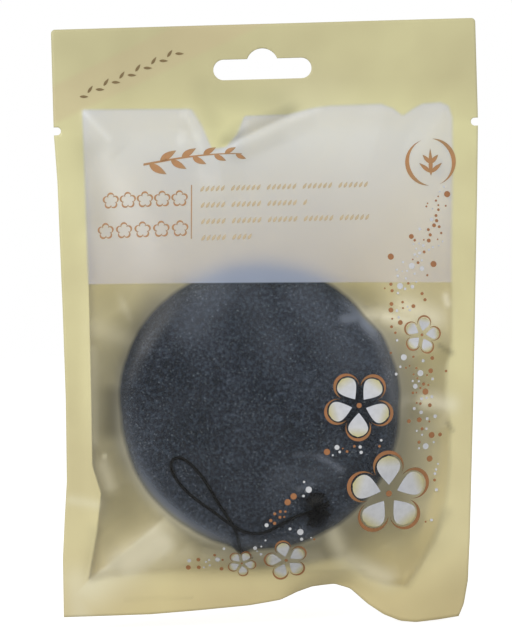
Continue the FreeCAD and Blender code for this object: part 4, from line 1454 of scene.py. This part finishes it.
def leaf(base, length, half_width, angle, bend=0.0):
    def shape(along, side):
        half = half_width * max(math.sin(math.pi * along ** LEAF_LEAN), 0) ** LEAF_BLUNTNESS
        return turned(base, angle, length * along, side * half + bend * along ** 2)
    return shape


def dot(form, centre, radius):
    made = bmesh.ops.create_circle(form, cap_ends=True, cap_tris=True, segments=DOT_SIDES,
                                   radius=radius)
    layer = form.verts.layers.float["along"]
    for vertex in made["verts"]:
        vertex.co = (centre[0] + vertex.co.x, 0, centre[1] + vertex.co.y)
        vertex[layer] = 0.5


def print_on_film(name, form, ink, body):
    for vertex in form.verts:
        y = height_over(film_face, vertex.co.x, vertex.co.z, -1) - PRINT_LIFT
        vertex.co = Vector((vertex.co.x, y, vertex.co.z)) * MM
    form.normal_update()
    bmesh.ops.reverse_faces(form, faces=[face for face in form.faces if face.normal.y > 0])
    made = piece(name, form, [ink])
    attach(made, body)
    say(made)


# %% [markdown]
# Printing ink on film is satin and very slightly uneven, in patches of a millimetre or so where it
# took less well. White ink turns pale yellow towards the outer end of each petal, and copper ink is
# darker at the tips of its strokes. A copper ink can hold metal flakes and could be made metallic,
# but this one shows no shine, so it is a plain colour, and paler where white lies under it.
# The small marks on the milky panel are a thin tan, and those on the ribbon brown. All inks differ
# only in the colours along a motif, so one function makes them.

# %% Printing inks
INK_PATCH = 1.4 * MM


def printing_ink(name, stops):
    ink, tree = start_material(name)
    along = add(tree, "ShaderNodeAttribute", {"attribute_name": "along"})
    ends = add(tree, "ShaderNodeValToRGB", inputs={"Fac": along.outputs["Fac"]}, stops=[
        (at, linear(code)) for at, code in stops])
    place = add(tree, "ShaderNodeTexCoord")
    uneven = add(tree, "ShaderNodeTexNoise", inputs={
        "Vector": place.outputs["Object"], "Scale": 1 / INK_PATCH, "Detail": 3.0})
    amount = add(tree, "ShaderNodeValToRGB", inputs={"Fac": uneven}, stops=[
        (0.3, linear("#F4F4F4")), (0.65, linear("#FFFFFF"))])
    printed = add(tree, "ShaderNodeMix", {"data_type": "RGBA", "blend_type": "MULTIPLY"}, {
        0: 1.0, 6: ends, 7: amount})
    satin = add(tree, "ShaderNodeBsdfPrincipled", inputs={
        "Base Color": printed.outputs[2], "Roughness": 0.5, "Specular IOR Level": 0.25})
    finish_material(ink, satin)
    return ink


white_ink = printing_ink("opaque_white_printing_ink", [
    (0.0, "#C8CBD4"), (0.62, "#CBCCCE"), (1.0, "#C2BA84")])
copper_ink = printing_ink("copper_printing_ink", [
    (0.0, "#8A6440"), (0.45, "#A3704A"), (1.0, "#8E6A46")])
pale_copper_ink = printing_ink("copper_printing_ink_over_white", [
    (0.0, "#A9825A"), (0.45, "#B08259"), (1.0, "#A48560")])
tan_ink = printing_ink("tan_printing_ink", [(0.0, "#BCA887"), (1.0, "#C4B496")])
brown_ink = printing_ink("brown_printing_ink", [(0.0, "#7B6846"), (1.0, "#857352")])

# %% [markdown]
# Each blossom has five blunt petals, and a crescent of copper closes round the outer end of each.
# The dots could be set one by one, but printed sprays are irregular, so they are strewn along lines
# by a random generator with a fixed seed. One that would touch a blossom, another dot or the
# place over the knot is left out.

# %% Blossoms and dots
BLOSSOMS = [
    ((34.5, -130.0), 13.5, 18), ((26.0, -103.0), 11.0, 50), ((46.0, -82.5), 6.2, 5),
    ((3.0, -149.6), 7.0, 30), ((-10.5, -150.2), 4.6, 60)]
DOT_LINES = [
    ((54.0, -38.0), (49.5, -52.0), 2.4, 30), ((49.5, -52.0), (40.0, -68.0), 5.0, 64),
    ((40.0, -68.0), (44.0, -96.0), 6.5, 90), ((44.0, -96.0), (47.0, -118.0), 4.4, 64),
    ((15.0, -117.5), (33.0, -115.0), 2.2, 24), ((-2.0, -139.0), (10.0, -127.0), 2.6, 20),
    ((-26.0, -151.5), (14.0, -141.0), 3.0, 90), ((46.0, -140.0), (50.0, -122.0), 2.6, 22)]
DOT_GAP = 0.35
KNOT_CLEARING = ((13.2, -135.5), 6.0)
DOT_SIZES = (0.25, 0.3, 0.35, 0.4, 0.45, 0.5, 0.6, 0.75, 0.95)
DOT_SPREAD_SHARE = 0.5
COPPER_SHARE = 0.52
SEED = 11
PETALS = 5
PETAL_TURN = 72
CRESCENT_PLACE_SHARE = 0.6
CRESCENT_RADIUS_SHARE = 0.335
CRESCENT_THICKNESS_SHARE = 0.085
CRESCENT_SWEEP = 4.2
EYE_SHARE = 0.07
CLEARING_SHARE = 1.02

scatter = random.Random(SEED)
white_form, copper_form, pale_form, tan_form, ribbon_form = (start_print() for _ in range(5))
for centre, radius, start_deg in BLOSSOMS:
    for number in range(PETALS):
        angle = math.radians(start_deg + PETAL_TURN * number)
        motif(white_form, 8, 14, petal(centre, radius, angle))
        middle = turned(centre, angle, CRESCENT_PLACE_SHARE * radius, 0)
        motif(copper_form, 2, 26, crescent(middle, CRESCENT_RADIUS_SHARE * radius,
                                           CRESCENT_THICKNESS_SHARE * radius, angle,
                                           CRESCENT_SWEEP))
    dot(copper_form, centre, EYE_SHARE * radius)
dots = [(centre, CLEARING_SHARE * radius) for centre, radius, _ in BLOSSOMS] + [KNOT_CLEARING]
for start, end, spread, count in DOT_LINES:
    for number in range(count):
        share = (number + scatter.random()) / count
        radius = scatter.choice(DOT_SIZES)
        place = tuple(a + share * (b - a) + scatter.gauss(0, spread * DOT_SPREAD_SHARE)
                      for a, b in zip(start, end))
        copper = scatter.random() < COPPER_SHARE
        if all(math.dist(place, other) > radius + reach + DOT_GAP for other, reach in dots):
            dots.append((place, radius))
            dot(copper_form if copper else white_form, place, radius)
print(len(dots) - len(BLOSSOMS) - 1, "dots")

# %% [markdown]
# On the right of the milky panel is a round badge: a ring open at two sides round five upright
# leaves. On its left a sprig grows along a curved stem, with leaves in turn above and below that get
# smaller towards its tip. Curves with a bevel could draw both, but they would be thick. The same
# grids do it, and a shape is only a function from a place on the grid to a place on the film.

# %% Badge and sprig
BADGE_CENTRE = (50.4, -30.0)
BADGE_RADIUS = 7.2
BADGE_STROKE = 1.3
BADGE_TURN = 0.12
BADGE_SWEEP = 2.7
BADGE_LEAVES = ((-4.2, 90, 8.4), (-3.2, 40, 4.6), (-3.2, 140, 4.6), (-0.4, 48, 3.6),
                (-0.4, 132, 3.6))
BADGE_LEAF_HALF_WIDTH = 0.62
SPRIG_START = (-37.0, -28.4)
SPRIG_LENGTH = 30.0
SPRIG_RISE = 2.6
SPRIG_CURVE = 1.9
STEM_HALF_WIDTHS = (0.34, 0.14)
SPRIG_LEAVES = 9
FIRST_LEAF_SHARE = 0.06
LAST_LEAF_SHARE = 0.94
SPRIG_LEAF_LENGTHS = (6.4, 3.2)
SPRIG_LEAF_HALF_WIDTHS = (1.15, 0.65)
SPRIG_LEAF_LEAN = 0.72
SPRIG_LEAF_BEND = 0.8


def between(ends, share):
    return ends[0] + (ends[1] - ends[0]) * share


def stem(along, side):
    return (SPRIG_START[0] + SPRIG_LENGTH * along,
            SPRIG_START[1] + SPRIG_RISE * math.sin(SPRIG_CURVE * along)
            + side * between(STEM_HALF_WIDTHS, along))


for angle in (0, math.pi):
    motif(pale_form, 2, 30, crescent(BADGE_CENTRE, BADGE_RADIUS, BADGE_STROKE,
                                     angle + BADGE_TURN, BADGE_SWEEP))
for lift, angle_deg, length in BADGE_LEAVES:
    base = (BADGE_CENTRE[0], BADGE_CENTRE[1] + lift)
    motif(pale_form, 2, 10, leaf(base, length, BADGE_LEAF_HALF_WIDTH, math.radians(angle_deg)))
motif(pale_form, 2, 40, stem)
for number in range(SPRIG_LEAVES):
    along = between((FIRST_LEAF_SHARE, LAST_LEAF_SHARE), number / (SPRIG_LEAVES - 1))
    side = 1 if number % 2 else -1
    motif(pale_form, 4, 12, leaf(stem(along, 0), between(SPRIG_LEAF_LENGTHS, along),
                                 between(SPRIG_LEAF_HALF_WIDTHS, along),
                                 side * SPRIG_LEAF_LEAN, -SPRIG_LEAF_BEND * side))
print("badge and sprig,", len(pale_form.faces), "faces")

# %% [markdown]
# Below the sprig are two rows of small line blossoms, a thin upright rule and rows of tan grains,
# and across the ribbon runs a row of leaves. These small marks only give the panel its fine
# scale, so they are plain rows: each could be an array modifier, but a loop places them just as
# well and one mesh per ink holds them all.

# %% Rule, rows and grains
RULE = ((-22.5, -35.1), (-22.9, -51.6))
RULE_HALF_WIDTH = 0.14
LINE_BLOSSOM_ROWS = ((-39.2, -47.2, -26.2), (-48.4, -49.0, -26.2))
LINE_BLOSSOMS = 5
LINE_BLOSSOM_RADIUS = 2.4
LINE_BLOSSOM_STROKE = 0.55
LINE_PLACE_SHARE = 0.56
LINE_RADIUS_SHARE = 0.40
LINE_SWEEP = 4.0
GRAIN_ROWS = ((-36.6, 31.6), (-41.6, 13.0), (-46.6, 31.6), (-51.6, -3.2))
GRAIN_START = -19.8
GRAIN_STEP = 1.55
GRAIN_DROP = 0.7
GRAIN_LENGTH = 2.2
GRAIN_HALF_WIDTH = 0.4
GRAIN_LEAN = 1.0
GRAINS_PER_GROUP = 7
GAP_IN_GROUP = 5
RIBBON_ROW = ((-56.0, -6.9), (-26.5, 5.4))
RIBBON_LEAVES = 13
RIBBON_LEAF_LENGTH = 2.7
RIBBON_LEAF_HALF_WIDTH = 0.42
RIBBON_LEAF_LEANS = (-0.45, 0.55)


def rule(along, side):
    x, z = (between(ends, along) for ends in zip(*RULE))
    return x + side * RULE_HALF_WIDTH, z


motif(pale_form, 1, 24, rule)
for z, first_x, last_x in LINE_BLOSSOM_ROWS:
    for number in range(LINE_BLOSSOMS):
        centre = (between((first_x, last_x), number / (LINE_BLOSSOMS - 1)), z)
        for turn in range(PETALS):
            angle = math.radians(90 + PETAL_TURN * turn)
            middle = turned(centre, angle, LINE_PLACE_SHARE * LINE_BLOSSOM_RADIUS, 0)
            motif(pale_form, 1, 14, crescent(middle, LINE_RADIUS_SHARE * LINE_BLOSSOM_RADIUS,
                                             LINE_BLOSSOM_STROKE, angle, LINE_SWEEP))
for z, last_x in GRAIN_ROWS:
    for number in range(int((last_x - GRAIN_START) / GRAIN_STEP)):
        if number % GRAINS_PER_GROUP != GAP_IN_GROUP:
            base = (GRAIN_START + GRAIN_STEP * number, z - GRAIN_DROP)
            motif(tan_form, 1, 6, leaf(base, GRAIN_LENGTH, GRAIN_HALF_WIDTH, GRAIN_LEAN))
row_start, row_end = RIBBON_ROW
row_angle = math.atan2(row_end[1] - row_start[1], row_end[0] - row_start[0])
for number in range(RIBBON_LEAVES):
    share = number / (RIBBON_LEAVES - 1)
    base = tuple(between(ends, share) for ends in zip(row_start, row_end))
    motif(ribbon_form, 2, 8, leaf(base, RIBBON_LEAF_LENGTH, RIBBON_LEAF_HALF_WIDTH,
                                  row_angle + RIBBON_LEAF_LEANS[number % 2]))
print("rows,", len(pale_form.faces) + len(tan_form.faces) + len(ribbon_form.faces), "faces")

# %% [markdown]
# The five inks become five pieces. A shrinkwrap modifier could press them on the film, but it
# finds the nearest surface, which at a fold lies to the side. Dropping each vertex along Y keeps
# the outlines as they were drawn. Four pieces ride on the pouch, and the leaves of the ribbon
# on the header, because the film bends between them.

# %% Print laid on the film
print_on_film("print_white", white_form, white_ink, "pouch")
print_on_film("print_copper", copper_form, copper_ink, "pouch")
print_on_film("print_pale_copper", pale_form, pale_copper_ink, "pouch")
print_on_film("print_tan", tan_form, tan_ink, "pouch")
print_on_film("print_ribbon_leaves", ribbon_form, brown_ink, "header")

# %% [markdown]
# ## Bodies and materials
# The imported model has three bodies: the header, the pouch, and the puff with its cord, which turns
# inside. A piece has to move with the body of what it shows. The webs could be cut in two at the
# tear line, but film bends there before it is torn, so each web blends from the header to the pouch
# over the 8 mm round that line. The stretch of cord inside the puff is never seen. It keeps its
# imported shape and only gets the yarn's material.

# %% Bodies, slots and what each piece stands for
TEAR_BEND = 4.0
for web, header_node, pouch_node in ((front_web, "header_front_film", "front_film"),
                                     (back_web, "header_back_film", "back_film")):
    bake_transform(web, "header", "pouch", start=(0, 0, (TEAR_Z + TEAR_BEND) * MM),
             end=(0, 0, (TEAR_Z - TEAR_BEND) * MM))
    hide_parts(header_node, pouch_node)
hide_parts("header_seal", "left_seal", "right_seal", "bottom_seal")
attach(puff, "sponge")
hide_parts("sponge")
for part, node in ((cord, "cord"), (knot, "knot"), (tails, "knot_tails")):
    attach(part, "sponge")
    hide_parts(node)
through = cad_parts["cord_through"]
through.data.materials.clear()
through.data.materials.append(cotton)
print("webs bend from", TEAR_Z + TEAR_BEND, "to", TEAR_Z - TEAR_BEND, "mm")
